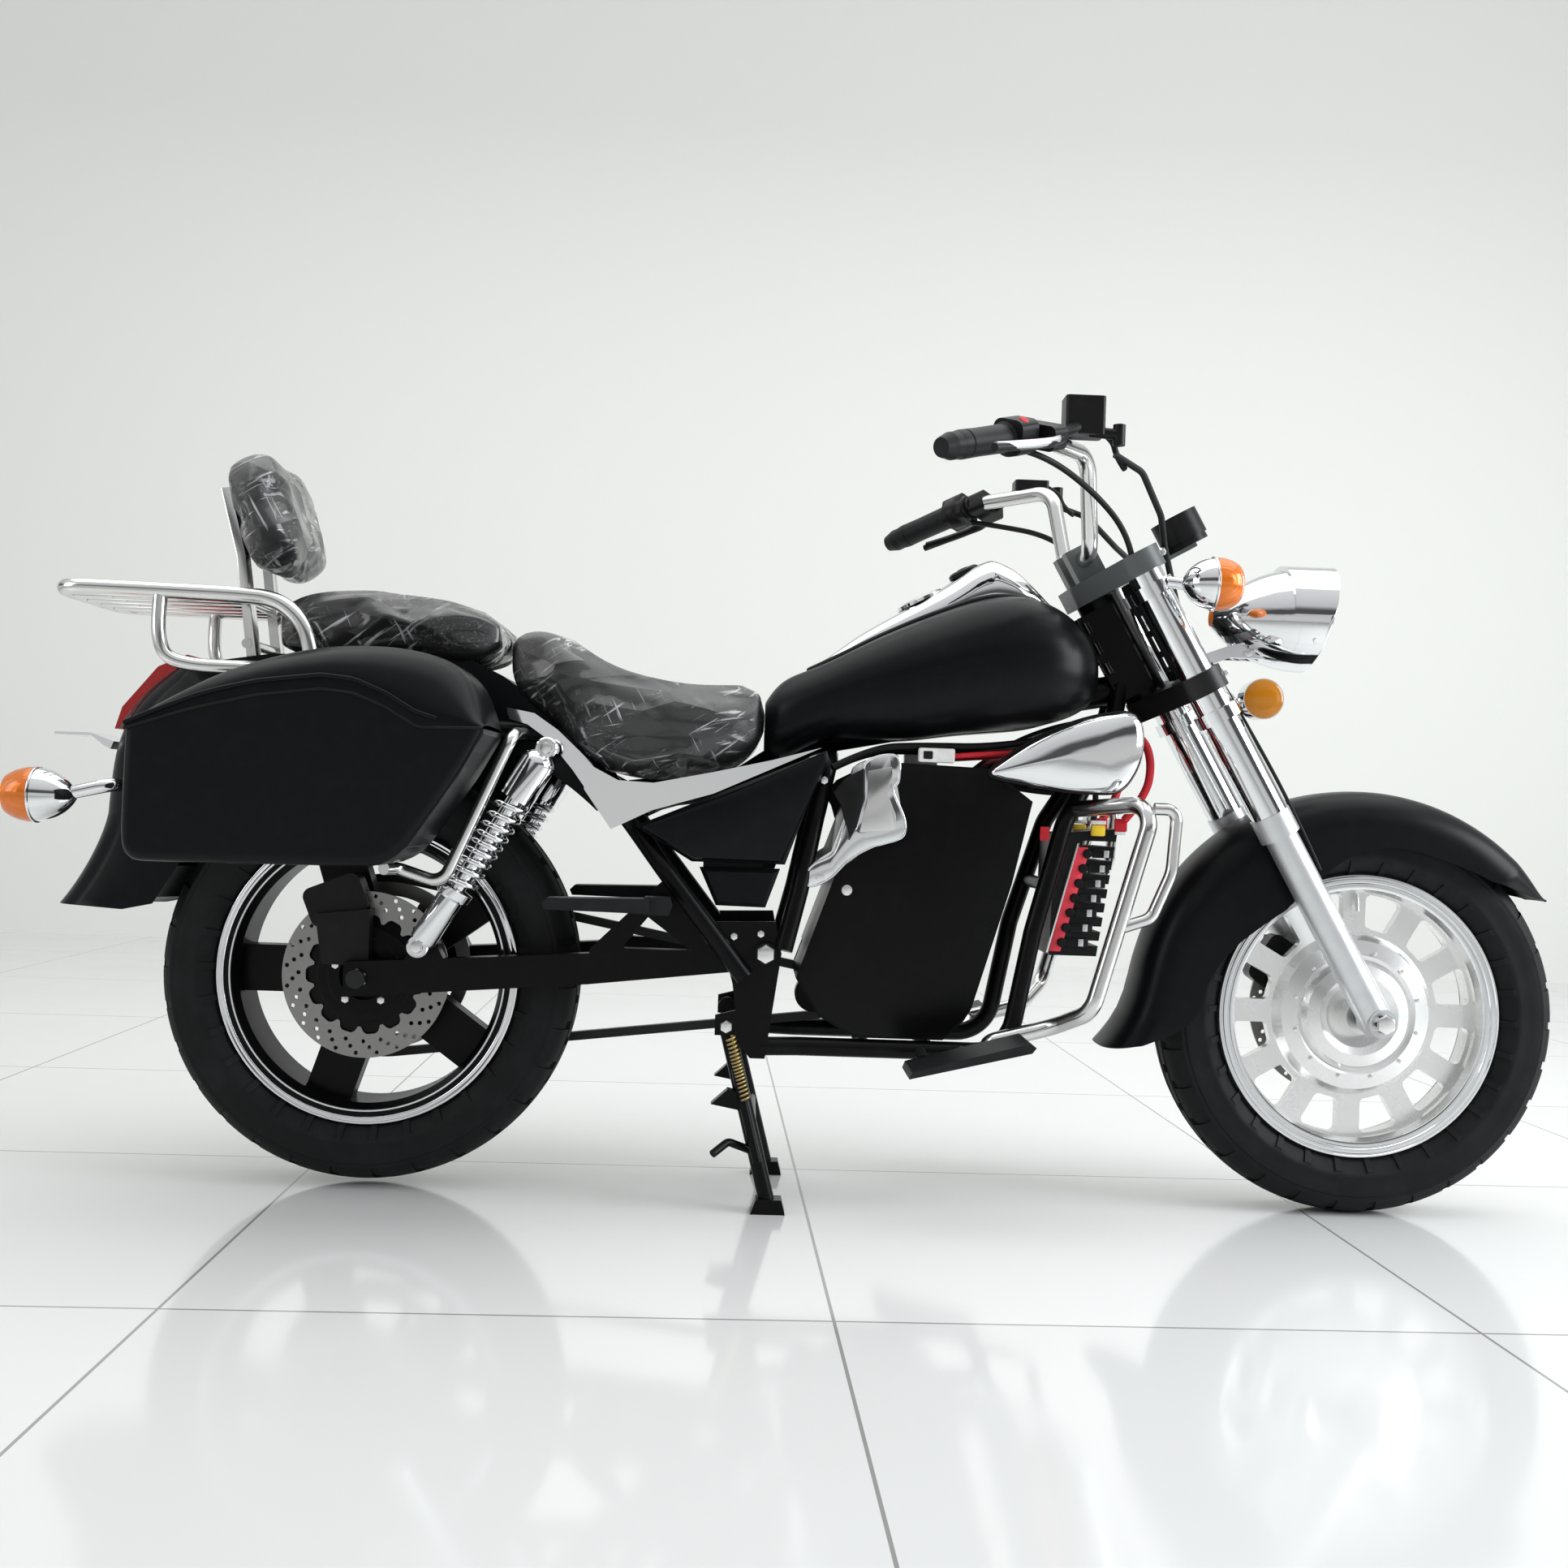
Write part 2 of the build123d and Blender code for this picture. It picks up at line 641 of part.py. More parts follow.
# ---------------------------------------------------------------- front caliper
caliper_angle, caliper_reach, caliper_gap = 146.0, 126.0, 1.0
caliper_x = caliper_reach * cos(radians(caliper_angle))
caliper_z = caliper_reach * sin(radians(caliper_angle))
disc_low = hub_half_front - caliper_gap
disc_high = hub_half_front + disc_thickness + caliper_gap
with BuildPart() as front_caliper:
    with BuildSketch(hub_plane(wheelbase, front_axle_z, 48)):
        with Locations((caliper_x, caliper_z)):
            RectangleRounded(58, 84, 14, rotation=caliper_angle)
    extrude(amount=-34)
    with BuildSketch(hub_plane(wheelbase, front_axle_z, disc_low)):
        Circle(front_disc_radius + 2)
    extrude(amount=disc_low - disc_high, mode=Mode.SUBTRACT)
    add(slab([(1410, 352), (1430, 425), (1492, 402), (1478, 350)], 78, 86.4))
finish(front_caliper.part, "front_caliper")

# ================================================================ chassis
frame_tube = 14.0
head_tube_radius = 34.0
backbone_radius = 24.0
rail_y, rail_z = 108.0, 246.0
plate_inner, plate_outer = 126.0, 132.0
pivot, pivot_radius = (608, 386), 11.0
stand_pivot, stand_pin_radius, stand_pin_inner = (553, 275), 8.0, 100.0
backbone_route = [(1160, 0, 812), (664, 0, 712), (560, 0, 640), (388, 0, 616)]
cradle_route = [(1153, -22, 816), (1138, -32, 735), (1060, -84, 598), (1012, -rail_y, 430),
                (978, -rail_y, rail_z), (660, -rail_y, rail_z), (602, -120, rail_z)]
cradle_bends = [40, 60, 60, 60, 40]
upright_route = [(634, -139, 392), (655, -124, 480), (676, -107, 590), (694, -107, 676),
                 (700, 0, 690)]
upright_bends = [60, 60, 30]
rear_rail_route = [(578, -139, 350), (452, -139, 508), (404, -rail_y, 568),
                   (300, -rail_y, 700), (-150, -rail_y, 735)]
rear_rail_bends = [40, 40, 60]
cross_tubes = [(1038, 500, 98, 10.3), (860, 246, rail_y, 11), (762, 246, rail_y, 11),
               (388, 592, rail_y, 12)]  # station, z, half length, radius
pivot_plate = [(533, 431), (622, 434), (632, 386), (612, 229), (590, 229), (560, 262),
               (536, 262), (536, 292), (566, 300), (560, 340)]
shock_top, shock_bottom, shock_y = (276, 680), (99, 383), 165.0
shock_tab = [(252, 666), (296, 664), (306, 690), (252, 696)]
shock_pin_radius = 8.0
stem_clearance = stem_radius + turn_gap


def cradle_tubes(growth=0.0):
    """The right half of the frame's bent tubes, thickened by growth to cut seats for others."""
    radius = frame_tube + growth
    return [bar([at(*p) for p in cradle_route], radius, cradle_bends),
            bar([at(*p) for p in upright_route], radius, upright_bends),
            bar([at(*p) for p in rear_rail_route], radius, rear_rail_bends)]


def pin(place, y_inner, y_outer, radius):
    """A round pin across the machine at a (station, Z) place, on the right side."""
    return rod(at(place[0], -y_inner, place[1]), at(place[0], -y_outer, place[1]), radius)


with BuildPart() as frame_half:
    for tube in cradle_tubes():
        add(tube)
    add(slab(pivot_plate, -plate_inner, -plate_outer))
    add(slab(shock_tab, -rail_y + 6, -rail_y - 6))
    add(pin(shock_top, rail_y, shock_y + 20, shock_pin_radius))
    add(pin(pivot, 0, plate_inner + 1, pivot_radius))
    add(pin(pivot, plate_outer - 1, plate_outer + 12, 17))
    add(pin(stand_pivot, stand_pin_inner, plate_outer, stand_pin_radius))
    # neck gusset beside the head tube, with its row of slots
    with BuildSketch(side_plane(-head_tube_radius + 4)):
        with BuildLine():
            Polyline(*[(p.X + origin_station, p.Z) for p in (
                on_steering(606, 10), on_steering(606, -50), on_steering(754, -50),
                on_steering(754, 10))], close=True)
        make_face()
        for slot in range(4):
            centre = on_steering(626 + 36 * slot, -42)
            with Locations((centre.X + origin_station, centre.Z)):
                Rectangle(10, 20, rotation=rake, mode=Mode.SUBTRACT)
    extrude(amount=4)
with BuildPart() as frame:
    add(frame_half.part)
    mirror(about=Plane.XZ)
    add(bar([at(*p) for p in backbone_route], backbone_radius, [80, 80]))
    add(rod(on_steering(lower_clamp_t + clamp_height + seat_gap),
            on_steering(upper_clamp_t - seat_gap), head_tube_radius))
    for x, z, half, radius in cross_tubes:
        add(rod(at(x, -half, z), at(x, half, z), radius))
    add(rod(on_steering(lower_clamp_t), on_steering(upper_clamp_t + 10), stem_clearance),
        mode=Mode.SUBTRACT)
finish(frame.part, "frame")

# the same tubes and the backbone with a seat's gap round them, both sides
tube_seats = both_sides(*cradle_tubes(seat_gap),
                        bar([at(*p) for p in backbone_route], backbone_radius + seat_gap,
                            [80, 80]))

# ---------------------------------------------------------------- power box
box_half = 118.0
box_outline = [(796, 679), (938, 675), (1004, 627), (976, 500), (921, 311), (911, 294),
               (879, 263), (746, 263), (691, 293), (655, 349), (706, 498), (721, 595), (744, 657),
               (788, 679)]
sprocket_y = 85.0
drive_sprocket, drive_sprocket_radius = (690, 306), 30.0
with BuildPart() as battery_box:
    add(slab(box_outline, -box_half, box_half))
    with BuildSketch(side_plane(sprocket_y - 20)):
        with BuildLine():
            Polyline((600, 250), (600, 392), (752, 392), (752, 250), close=True)
        make_face()
    extrude(amount=-80, mode=Mode.SUBTRACT)
    add(rod(at(drive_sprocket[0], sprocket_y - 22, drive_sprocket[1]),
            at(drive_sprocket[0], sprocket_y + 3.5, drive_sprocket[1]),
            drive_sprocket_radius - seat_gap))
finish(battery_box.part, "battery_box")

# ---------------------------------------------------------------- tank
tank_sections = [  # station, full width, bottom, top
    (596, 132, 694, 768), (666, 196, 702, 822), (780, 262, 716, 879), (879, 306, 727, 921),
    (952, 328, 736, 941), (1002, 326, 742, 939), (1045, 300, 752, 922), (1086, 232, 772, 890),
    (1109, 130, 802, 852),
]
tank_round = 0.46


def rounded_loft(sections, share, ruled=False):
    """A body through rounded rectangles given as (station, width, bottom, top)."""
    with BuildPart() as made:
        for x, width, low, high in sections:
            plane = Plane(origin=at(x, 0, (low + high) / 2), x_dir=(0, 1, 0), z_dir=(1, 0, 0))
            with BuildSketch(plane):
                RectangleRounded(width, high - low, share * min(width, high - low))
        loft(ruled=ruled)
    return made.part


tank_body = rounded_loft(tank_sections, tank_round)
with BuildPart() as tank:
    add(tank_body)
    with BuildSketch(side_plane()):
        with BuildLine():
            Polyline((560, 640), (560, 728), (664, 738), (1178, 841), (1178, 640), close=True)
        make_face()
    extrude(amount=backbone_radius + seat_gap, both=True, mode=Mode.SUBTRACT)
finish(tank.part, "tank")

console_sections = [
    (664, 30, 790, 824), (740, 84, 820, 882), (880, 126, 880, 966), (936, 128, 900, 1011),
    (984, 108, 900, 992), (1054, 46, 880, 930),
]
with BuildPart() as tank_console:
    add(rounded_loft(console_sections, 0.3, ruled=True))
    add(tank_body.moved(Location((0, 0, seat_gap))), mode=Mode.SUBTRACT)
finish(tank_console.part.solids().sort_by(SortBy.VOLUME)[-1], "tank_console")

# ---------------------------------------------------------------- covers beside the tank and box
scoop_outline = [(936, 676), (1144, 763), (1175, 717), (1152, 656), (1051, 644), (968, 657)]
with BuildPart() as scoop:
    add(slab(scoop_outline, -box_half - seat_gap, -box_half - 30, 12))
    chamfer(scoop.faces().sort_by(Axis.Y)[0].edges(), 11)
finish(both_sides(scoop.part), "tank_scoops")

cooler_half = 62.0
with BuildPart() as cooler:
    add(slab([(1050, 580), (1148, 590), (1120, 392), (1046.8, 392)], -cooler_half, cooler_half))
    with BuildSketch(side_plane()) as grooves:
        for row in range(8):
            with Locations((1128, 412 + 22 * row)):
                Rectangle(70, 8)
    extrude(amount=cooler_half + 1, both=True, mode=Mode.SUBTRACT)
finish(cooler.part, "cooler")

cover_inner, cover_outer = 122.5, 146.0
side_cover_outline = [(407, 570), (689, 692), (693, 678), (667, 620), (632, 520), (493, 520)]
lower_cover_outline = [(505, 512), (625, 513), (605, 455), (531, 456)]
with BuildPart() as side_cover:
    add(slab(side_cover_outline, -cover_inner, -cover_outer))
    chamfer(side_cover.faces().sort_by(Axis.Y)[0].edges(), 5)
with BuildPart() as lower_cover:
    add(slab(lower_cover_outline, -cover_inner, -cover_outer))
    chamfer(lower_cover.faces().sort_by(Axis.Y)[0].edges(), 6)
    add(slab([(510, 508), (600, 508), (600, 525), (510, 525)], -cover_inner, -cover_inner - 6))
with BuildPart() as side_cover_pair:
    add(side_cover.part)
    add(lower_cover.part)
    mirror(about=Plane.XZ)
    add(tube_seats, mode=Mode.SUBTRACT)
finish(side_cover_pair.part, "side_covers")

seat_trim_front = [(330, 668), (344, 655), (380, 637), (433, 635), (521, 654), (608, 675),
                   (681, 696), (522, 622), (431, 594), (372, 564), (330, 622)]
seat_trim_rear = [(209, 740), (250, 733), (286, 709), (319, 679), (344, 655), (344, 604),
                  (310, 650), (272, 694), (240, 716), (209, 724)]
box_trim_outline = [(788, 688), (808, 591), (807, 567), (755, 547), (703, 507), (658, 495),
                    (674, 523), (702, 542), (721, 596), (744, 657)]
with BuildPart() as side_trim:
    add(slab(seat_trim_front, -cover_outer - seat_gap, -cover_outer - 4))
    add(slab(seat_trim_rear, -cover_inner, -cover_inner - 5))
    add(slab([(334, 658), (344, 648), (344, 612), (334, 622)], -cover_inner, -cover_outer - 4))
    add(slab(box_trim_outline, -box_half - seat_gap, -box_half - 8))
    add(tube_seats, mode=Mode.SUBTRACT)
    add(pin(shock_top, rail_y, shock_y, shock_pin_radius + seat_gap), mode=Mode.SUBTRACT)
finish(both_sides(side_trim.part), "side_trims")

# ---------------------------------------------------------------- rear fender and its lamp
rear_fender_half, rear_fender_wall = 93.5, 3.0
rear_arch = 372.0
fender_top = 811.0


def rear_fender_form(inset):
    """The fender as a closed form, moved in by inset except along the wheel arch."""
    i = inset
    arch = rear_arch
    low = degrees(atan2(484 - rear_axle_z, -322))
    with BuildPart() as made:
        with BuildSketch(side_plane()):
            with BuildLine():
                Polyline((345, 590), (262 - i, 745 - i), (195 - i, 790 - i), (150, fender_top - i),
                         (-150, fender_top - i), (-300 + i, 792 - i))
                ThreePointArc((-300 + i, 792 - i), (-388 + i, 704), (-424 + i, 560))
                ThreePointArc((-424 + i, 560), (-442 + i, 484), (-478 + 2 * i, 421 + i))
                Polyline((-478 + 2 * i, 421 + i), (-413, 417 + i), (-368, 427 + i),
                         (arch * cos(radians(low)), rear_axle_z + arch * sin(radians(low))))
                middle = radians(100)
                ThreePointArc((arch * cos(radians(low)), rear_axle_z + arch * sin(radians(low))),
                              (arch * cos(middle), rear_axle_z + arch * sin(middle)), (345, 590))
            make_face()
        extrude(amount=rear_fender_half - inset, both=True)
    return made.part


with BuildPart() as fender_solid:
    add(rear_fender_form(0))
with BuildPart() as fender_hollow:
    add(rear_fender_form(rear_fender_wall))
    with BuildSketch(hub_plane(0, rear_axle_z)):
        Circle(rear_arch + 1)
    extrude(amount=rear_fender_half - rear_fender_wall, both=True)
with BuildPart() as rear_fender:
    add(fender_solid.part)
    add(fender_hollow.part, mode=Mode.SUBTRACT)
finish(rear_fender.part, "rear_fender")

tail_outline = [(-262, 800), (-296, 808), (-340, 788), (-392, 724), (-402, 690), (-380, 690),
                (-280, 770)]
with BuildPart() as tail_light:
    add(slab(tail_outline, -48, 48))
    add(fender_solid.part.moved(Location((-seat_gap, 0, seat_gap))), mode=Mode.SUBTRACT)
finish(tail_light.part, "tail_light")

bracket_outline = [(-396, 652), (-398, 668), (-440, 683), (-496, 683), (-496, 679), (-440, 679),
                   (-420, 664)]
plate_hole_radius, plate_hole_half, plate_hole_x = 3.25, 30.0, -478.0
with BuildPart() as plate_bracket:
    add(slab(bracket_outline, -42, 42))
    add(fender_solid.part.moved(Location((-seat_gap, 0, 0))), mode=Mode.SUBTRACT)
    with BuildSketch(Plane.XY.offset(670)):
        with Locations(at(plate_hole_x, -plate_hole_half, 0), at(plate_hole_x, plate_hole_half, 0)):
            Circle(plate_hole_radius)
    extrude(amount=30, mode=Mode.SUBTRACT)
finish(plate_bracket.part, "plate_bracket")

rear_signal, rear_signal_radius = (-440, -200, 586), 34.0
finish(
    both_sides(
        bullet(*rear_signal, rear_signal_radius, 50, -50),
        bar([at(-410, -200, 588), at(-346, -196, 604),
             at(-346, -rear_fender_half - seat_gap, 604)], 10, 16),
    ),
    "rear_lamps",
)

# ---------------------------------------------------------------- seats
front_seat_sections = [
    (204, 204, 808, 844), (236, 250, 752, 866), (290, 290, 706, 848), (350, 310, 652, 810),
    (420, 310, 643, 788), (500, 284, 650, 781), (562, 236, 668, 786), (592, 200, 700, 786),
]
rear_seat_sections = [
    (-150, 196, 814, 880), (-118, 236, fender_top + seat_gap, 900),
    (0, 262, fender_top + seat_gap, 908), (110, 268, fender_top + seat_gap, 897),
    (176, 250, 813, 880), (198, 220, 830, 866),
]
fender_seat = fender_solid.part.moved(Location((seat_gap, 0, seat_gap)))
with BuildPart() as seat_front:
    add(rounded_loft(front_seat_sections, 0.3))
    for other in (tube_seats, fender_seat, both_sides(side_trim.part)):
        add(other, mode=Mode.SUBTRACT)
    add(rod(at(388, -140, 592), at(388, 140, 592), 12 + seat_gap), mode=Mode.SUBTRACT)
finish(seat_front.part.solids().sort_by(SortBy.VOLUME)[-1], "seat_front")

# ---------------------------------------------------------------- rack and backrest
rack_y, rack_tube, slat_tube = 125.0, 10.5, 6.0
backrest_lean = 18.0
rack_side = [(-463, -96, 897), (-455, -rack_y, 897), (-161, -rack_y, 894), (-84, -rack_y, 810),
             (-84, -rack_y, 742)]
with BuildPart() as rack:
    add(bar([at(-463, 0, 897)] + [at(*p) for p in rack_side[1:]], rack_tube, [34, 50, 30]))
    add(bar([at(-310, -rack_y, 893), at(-306, -rack_y, 800), at(-252, -rack_y, 786),
             at(-90, -rack_y, 786)], 9.0, [40, 40]))
    for slat in (-0.62, -0.21):
        add(rod(at(-462, slat * rack_y, 890), at(-205, slat * rack_y, 890), slat_tube))
    add(slab([(-196, 800), (-218, 960), (-246, 1062), (-231.8, 1064), (-203.8, 962),
              (-180, 800)], -78, -54))
    mirror(about=Plane.XZ)
    add(rod(at(-205, -rack_y, 893), at(-205, rack_y, 893), 8))
    add(rod(at(-400, -rack_y, 893), at(-400, rack_y, 893), slat_tube))
    add(rod(at(-196, -80, 826), at(-196, 80, 826), 8))
    add(fender_seat, mode=Mode.SUBTRACT)
    add(tube_seats, mode=Mode.SUBTRACT)
finish(rack.part, "rack")

with BuildPart() as seat_rear:
    add(rounded_loft(rear_seat_sections, 0.3))
    add(fender_seat, mode=Mode.SUBTRACT)
    add(both_sides(bar([at(*p) for p in rack_side[1:]], rack_tube + seat_gap, [50, 30])),
        mode=Mode.SUBTRACT)
finish(seat_rear.part.solids().sort_by(SortBy.VOLUME)[-1], "seat_rear")

backrest_height, backrest_width, backrest_depth = 196.0, 250.0, 78.0
backrest_plane = Plane(origin=at(-210, 0, 915), x_dir=(0, 1, 0),
                       z_dir=(cos(radians(backrest_lean)), 0, sin(radians(backrest_lean))))
with BuildPart() as backrest:
    for offset, shrink in ((26, 24), (48, 0), (80, 0), (104, 30)):
        with BuildSketch(backrest_plane.offset(offset)):
            with Locations((0, backrest_height / 2)):
                RectangleRounded(backrest_width - shrink, backrest_height - shrink, 70 - shrink)
    loft()
finish(backrest.part, "backrest")

# ---------------------------------------------------------------- saddlebags
bag_inner, bag_outer, bag_wall = 197.0, 370.0, 3.5
lid_top = [(-263, 692), (-224, 723), (-153, 763), (-91, 786), (-27, 802), (37, 808), (101, 805),
           (158, 789), (192, 758), (213, 706)]
bag_seam = [(-263, 680), (-173, 710), (-88, 731), (-4, 742), (40, 738), (83, 721), (127, 695),
            (213, 697)]
bag_bottom = [(213, 690), (181, 631), (116, 534), (79, 508), (-249, 504), (-265, 529)]


def bag_solid(outline, inset):
    """The bag's or the lid's outer form, rounded where its side turns into its outer face."""
    with BuildPart() as made:
        with BuildSketch(side_plane(-bag_inner - inset)):
            with BuildLine():
                Polyline(*outline, close=True)
            make_face()
            if inset:
                offset(amount=-inset, kind=Kind.INTERSECTION)
        extrude(amount=bag_outer - bag_inner - 2 * inset)
    return made.part


body_outline = bag_seam + bag_bottom
seam_raised = [(x, z + seat_gap) for x, z in bag_seam]
lid_outline = lid_top + list(reversed(seam_raised))
with BuildPart() as bag:
    add(bag_solid(body_outline, 0))
    outer_edges = bag.faces().sort_by(Axis.Y)[0].edges()
    chamfer(outer_edges.filter_by_position(Axis.Z, 500, 690), 14)
    with BuildSketch(side_plane(-bag_inner - bag_wall)):
        with BuildLine():
            Polyline((-263 + bag_wall, 800), *[(x, z) for x, z in (
                (-265 + bag_wall, 529), (-249 + bag_wall, 504 + bag_wall),
                (79 - bag_wall, 508 + bag_wall), (116 - bag_wall, 534 + bag_wall),
                (181 - bag_wall, 631), (213 - bag_wall, 690), (213 - bag_wall, 800))],
                close=True)
        make_face()
    extrude(amount=bag_outer - bag_inner - 5 * bag_wall, mode=Mode.SUBTRACT)


def seam_height(x):
    """The seam's Z at a station, along its straight stretches."""
    for (x_low, z_low), (x_high, z_high) in zip(bag_seam, bag_seam[1:]):
        if x <= x_high:
            return z_low + (z_high - z_low) * (x - x_low) / (x_high - x_low)
    return bag_seam[-1][1]


def lid_form(sections, inset, floor):
    """The domed lid through sections of (Y, share of full height), with its walls moved in."""
    with BuildPart() as made:
        for y, share in sections:
            crown_line = []
            for x, z in lid_top:
                seam = seam_height(x)
                x_in = x - inset if x > 100 else x + inset if x < -200 else x
                crown_line.append((x_in, seam + (z - seam) * share - inset))
            with BuildSketch(side_plane(y)):
                with BuildLine():
                    Polyline(*crown_line, (crown_line[-1][0], seam_height(213) - floor),
                             *[(x, seam_height(x) - floor) for x in (127, 83, 40, -4, -88, -173)],
                             (crown_line[0][0], seam_height(-263) - floor), close=True)
                make_face()
        loft(ruled=True)
    return made.part


lid_sections = [(-bag_inner, 1.0), (-bag_outer + 40, 1.0), (-bag_outer + 13, 0.8),
                (-bag_outer, 0.35)]
lid_hollow = [(-bag_inner - bag_wall, 1.0), (-bag_outer + 42, 1.0), (-bag_outer + 16, 0.78),
              (-bag_outer + 6, 0.4)]
with BuildPart() as lid:
    add(lid_form(lid_sections, 0, -seat_gap))
    add(lid_form(lid_hollow, bag_wall, 40), mode=Mode.SUBTRACT)
for side, name in ((1, "right"), (-1, "left")):
    if side == 1:
        finish(bag.part, "bag_right")
        finish(lid.part, "bag_lid_right")
    else:
        finish(bag.part.mirror(Plane.XZ), "bag_left")
        finish(lid.part.mirror(Plane.XZ), "bag_lid_left")

# arms from the frame's rear rails to the bags, and the bright bar ahead of each bag
bag_guard_route = [(238, -108, 703), (231, -206, 698), (137, -206, 478), (72, -206, 498.4),
                   (60, -240, 498.4)]
bag_arm_radius = 10.0
bag_arms = [[(60, -112, 716), (60, -150, 706), (60, -bag_inner + seat_gap, 706)],
            [(-120, -112, 730), (-120, -150, 698), (-120, -bag_inner + seat_gap, 698)]]
with BuildPart() as bag_stays:
    add(bar([at(*p) for p in bag_guard_route], 9.0, [24, 24, 16]))
    for route in bag_arms:
        add(bar([at(*p) for p in route], bag_arm_radius, 14))
    add(tube_seats, mode=Mode.SUBTRACT)
finish(both_sides(*[q for q in bag_stays.part.solids() if q.volume > 2000]), "bag_stays")

# ---------------------------------------------------------------- swingarm, shocks, pegs
arm_inner, arm_outer = 98.0, 124.0
arm_outline = [(-20, 300), (330, 329), (600, 364), (628, 378), (628, 396), (600, 406),
               (361, 378), (129, 362), (-20, 352)]
gusset_outline = [(340, 330), (345, 384), (455, 494), (536, 372), (560, 356)]
gusset_window = [(392, 386), (430, 434), (496, 386)]
shock_lug = [(66, 350), (134, 350), (112, 390), (86, 390)]
with BuildPart() as swingarm_half:
    add(slab(arm_outline, -arm_inner, -arm_outer))
    add(slab(gusset_outline, -arm_inner, -arm_outer))
    add(slab(gusset_window, -arm_inner + 1, -arm_outer - 1), mode=Mode.SUBTRACT)
    add(pin(shock_bottom, arm_inner, arm_outer, 20))
    add(slab(shock_lug, -arm_inner, -arm_outer))
    add(rod(at(shock_bottom[0], -arm_outer, shock_bottom[1]),
            at(shock_bottom[0], -shock_y - 20, shock_bottom[1]), shock_pin_radius))
    add(pin(pivot, 0, plate_inner - seat_gap, 17))
    add(pin((352, 353), 0, arm_inner + 1, 18))
    add(pin(pivot, -1, plate_inner + 1, pivot_radius + seat_gap), mode=Mode.SUBTRACT)
    add(pin((0, rear_axle_z), arm_inner - 1, arm_outer + 1, axle_radius + seat_gap),
        mode=Mode.SUBTRACT)
finish(both_sides(swingarm_half.part), "swingarm")

shock_eye, shock_can, shock_coil, shock_body = 16.0, 27.0, 28.0, 20.0
coil_count = 9


def shock():
    top = at(shock_top[0], -shock_y, shock_top[1])
    bottom = at(shock_bottom[0], -shock_y, shock_bottom[1])
    axis = (top - bottom).normalized()
    length = (top - bottom).length
    # local x is Y, local y runs up the shock
    plane = Plane(origin=bottom, x_dir=(0, 1, 0), z_dir=Vector(0, 1, 0).cross(axis))
    outline = [(0, 8), (shock_body, 8), (shock_body, 104)]
    pitch = (length - 86 - 104) / coil_count
    for turn in range(coil_count):
        base = 104 + turn * pitch
        outline += [(shock_coil, base + 2), (shock_coil, base + 0.4 * pitch),
                    (shock_body, base + 0.55 * pitch), (shock_body, base + pitch)]
    outline += [(shock_can, length - 84), (shock_can, length - 12), (0, length - 12)]
    with BuildPart() as made:
        with BuildSketch(plane):
            with BuildLine():
                Polyline(*outline, close=True)
            make_face()
        revolve(axis=Axis(bottom, axis))
        for eye in (top, bottom):
            add(rod(eye - Vector(0, 14, 0), eye + Vector(0, 14, 0), shock_eye))
            add(rod(eye - Vector(0, 40, 0), eye + Vector(0, 40, 0), shock_pin_radius + seat_gap),
                mode=Mode.SUBTRACT)
    return made.part


finish(both_sides(shock()), "shocks")

peg_z, peg_y, peg_half = 455.0, 188.0, 19.0
peg_place = (448, peg_z)
with BuildPart() as peg:
    add(slab([(284, 446), (280, 455), (288, 463), (436, 466), (436, 444)],
             -peg_y + peg_half, -peg_y - peg_half))
    add(slab([(428, 442), (428, 468), (464, 468), (468, 455), (464, 442)], -peg_y + 28,
             -peg_y - 10))
    add(pin(peg_place, arm_outer + seat_gap, peg_y, 10))
finish(both_sides(peg.part), "passenger_pegs")

# ---------------------------------------------------------------- rear brake, axle and chain
with BuildPart() as rear_caliper:
    with BuildSketch(hub_plane(0, rear_axle_z, -48)):
        with Locations((122 * cos(radians(112)), 122 * sin(radians(112)))):
            RectangleRounded(62, 90, 14, rotation=112)
    extrude(amount=38)
    with BuildSketch(hub_plane(0, rear_axle_z, -hub_half_rear + caliper_gap)):
        Circle(rear_disc_radius + 2)
    extrude(amount=disc_thickness + 2 * caliper_gap, mode=Mode.SUBTRACT)
    add(slab([(-60, 345), (-72, 420), (10, 430), (10, 345)], -hub_half_rear - 10,
             -arm_inner + seat_gap))
finish(rear_caliper.part, "rear_caliper")

axle_end = arm_outer + seat_gap
with BuildPart() as rear_axle:
    add(rod(at(0, -axle_end - 10, rear_axle_z), at(0, axle_end + 10, rear_axle_z), axle_radius))
    for side in (-1, 1):
        add(rod(at(0, side * (hub_half_rear + disc_thickness + 5 + seat_gap), rear_axle_z),
                at(0, side * (arm_inner - seat_gap), rear_axle_z), hub_spacer_radius))
        add(rod(at(0, side * axle_end, rear_axle_z), at(0, side * (axle_end + 10), rear_axle_z),
                hub_spacer_radius))
finish(rear_axle.part, "rear_axle")

sprocket_radius, sprocket_inner, chain_width, chain_depth = 134.0, 112.0, 12.0, 14.0
with BuildPart() as rear_sprocket:
    with BuildSketch(hub_plane(0, rear_axle_z, sprocket_y + 3.5)):
        Circle(sprocket_radius)
        Circle(sprocket_inner, mode=Mode.SUBTRACT)
        with PolarLocations(sprocket_inner / 2 + 4, 6):
            Rectangle(sprocket_inner, 18)
        Circle(66)
        Circle(20, mode=Mode.SUBTRACT)
    extrude(amount=7)
    with BuildSketch(hub_plane(0, rear_axle_z, sprocket_y + 3.5)):
        Circle(60)
        Circle(20, mode=Mode.SUBTRACT)
    extrude(amount=sprocket_y + 3.5 - hub_half_rear)
finish(rear_sprocket.part, "rear_sprocket")


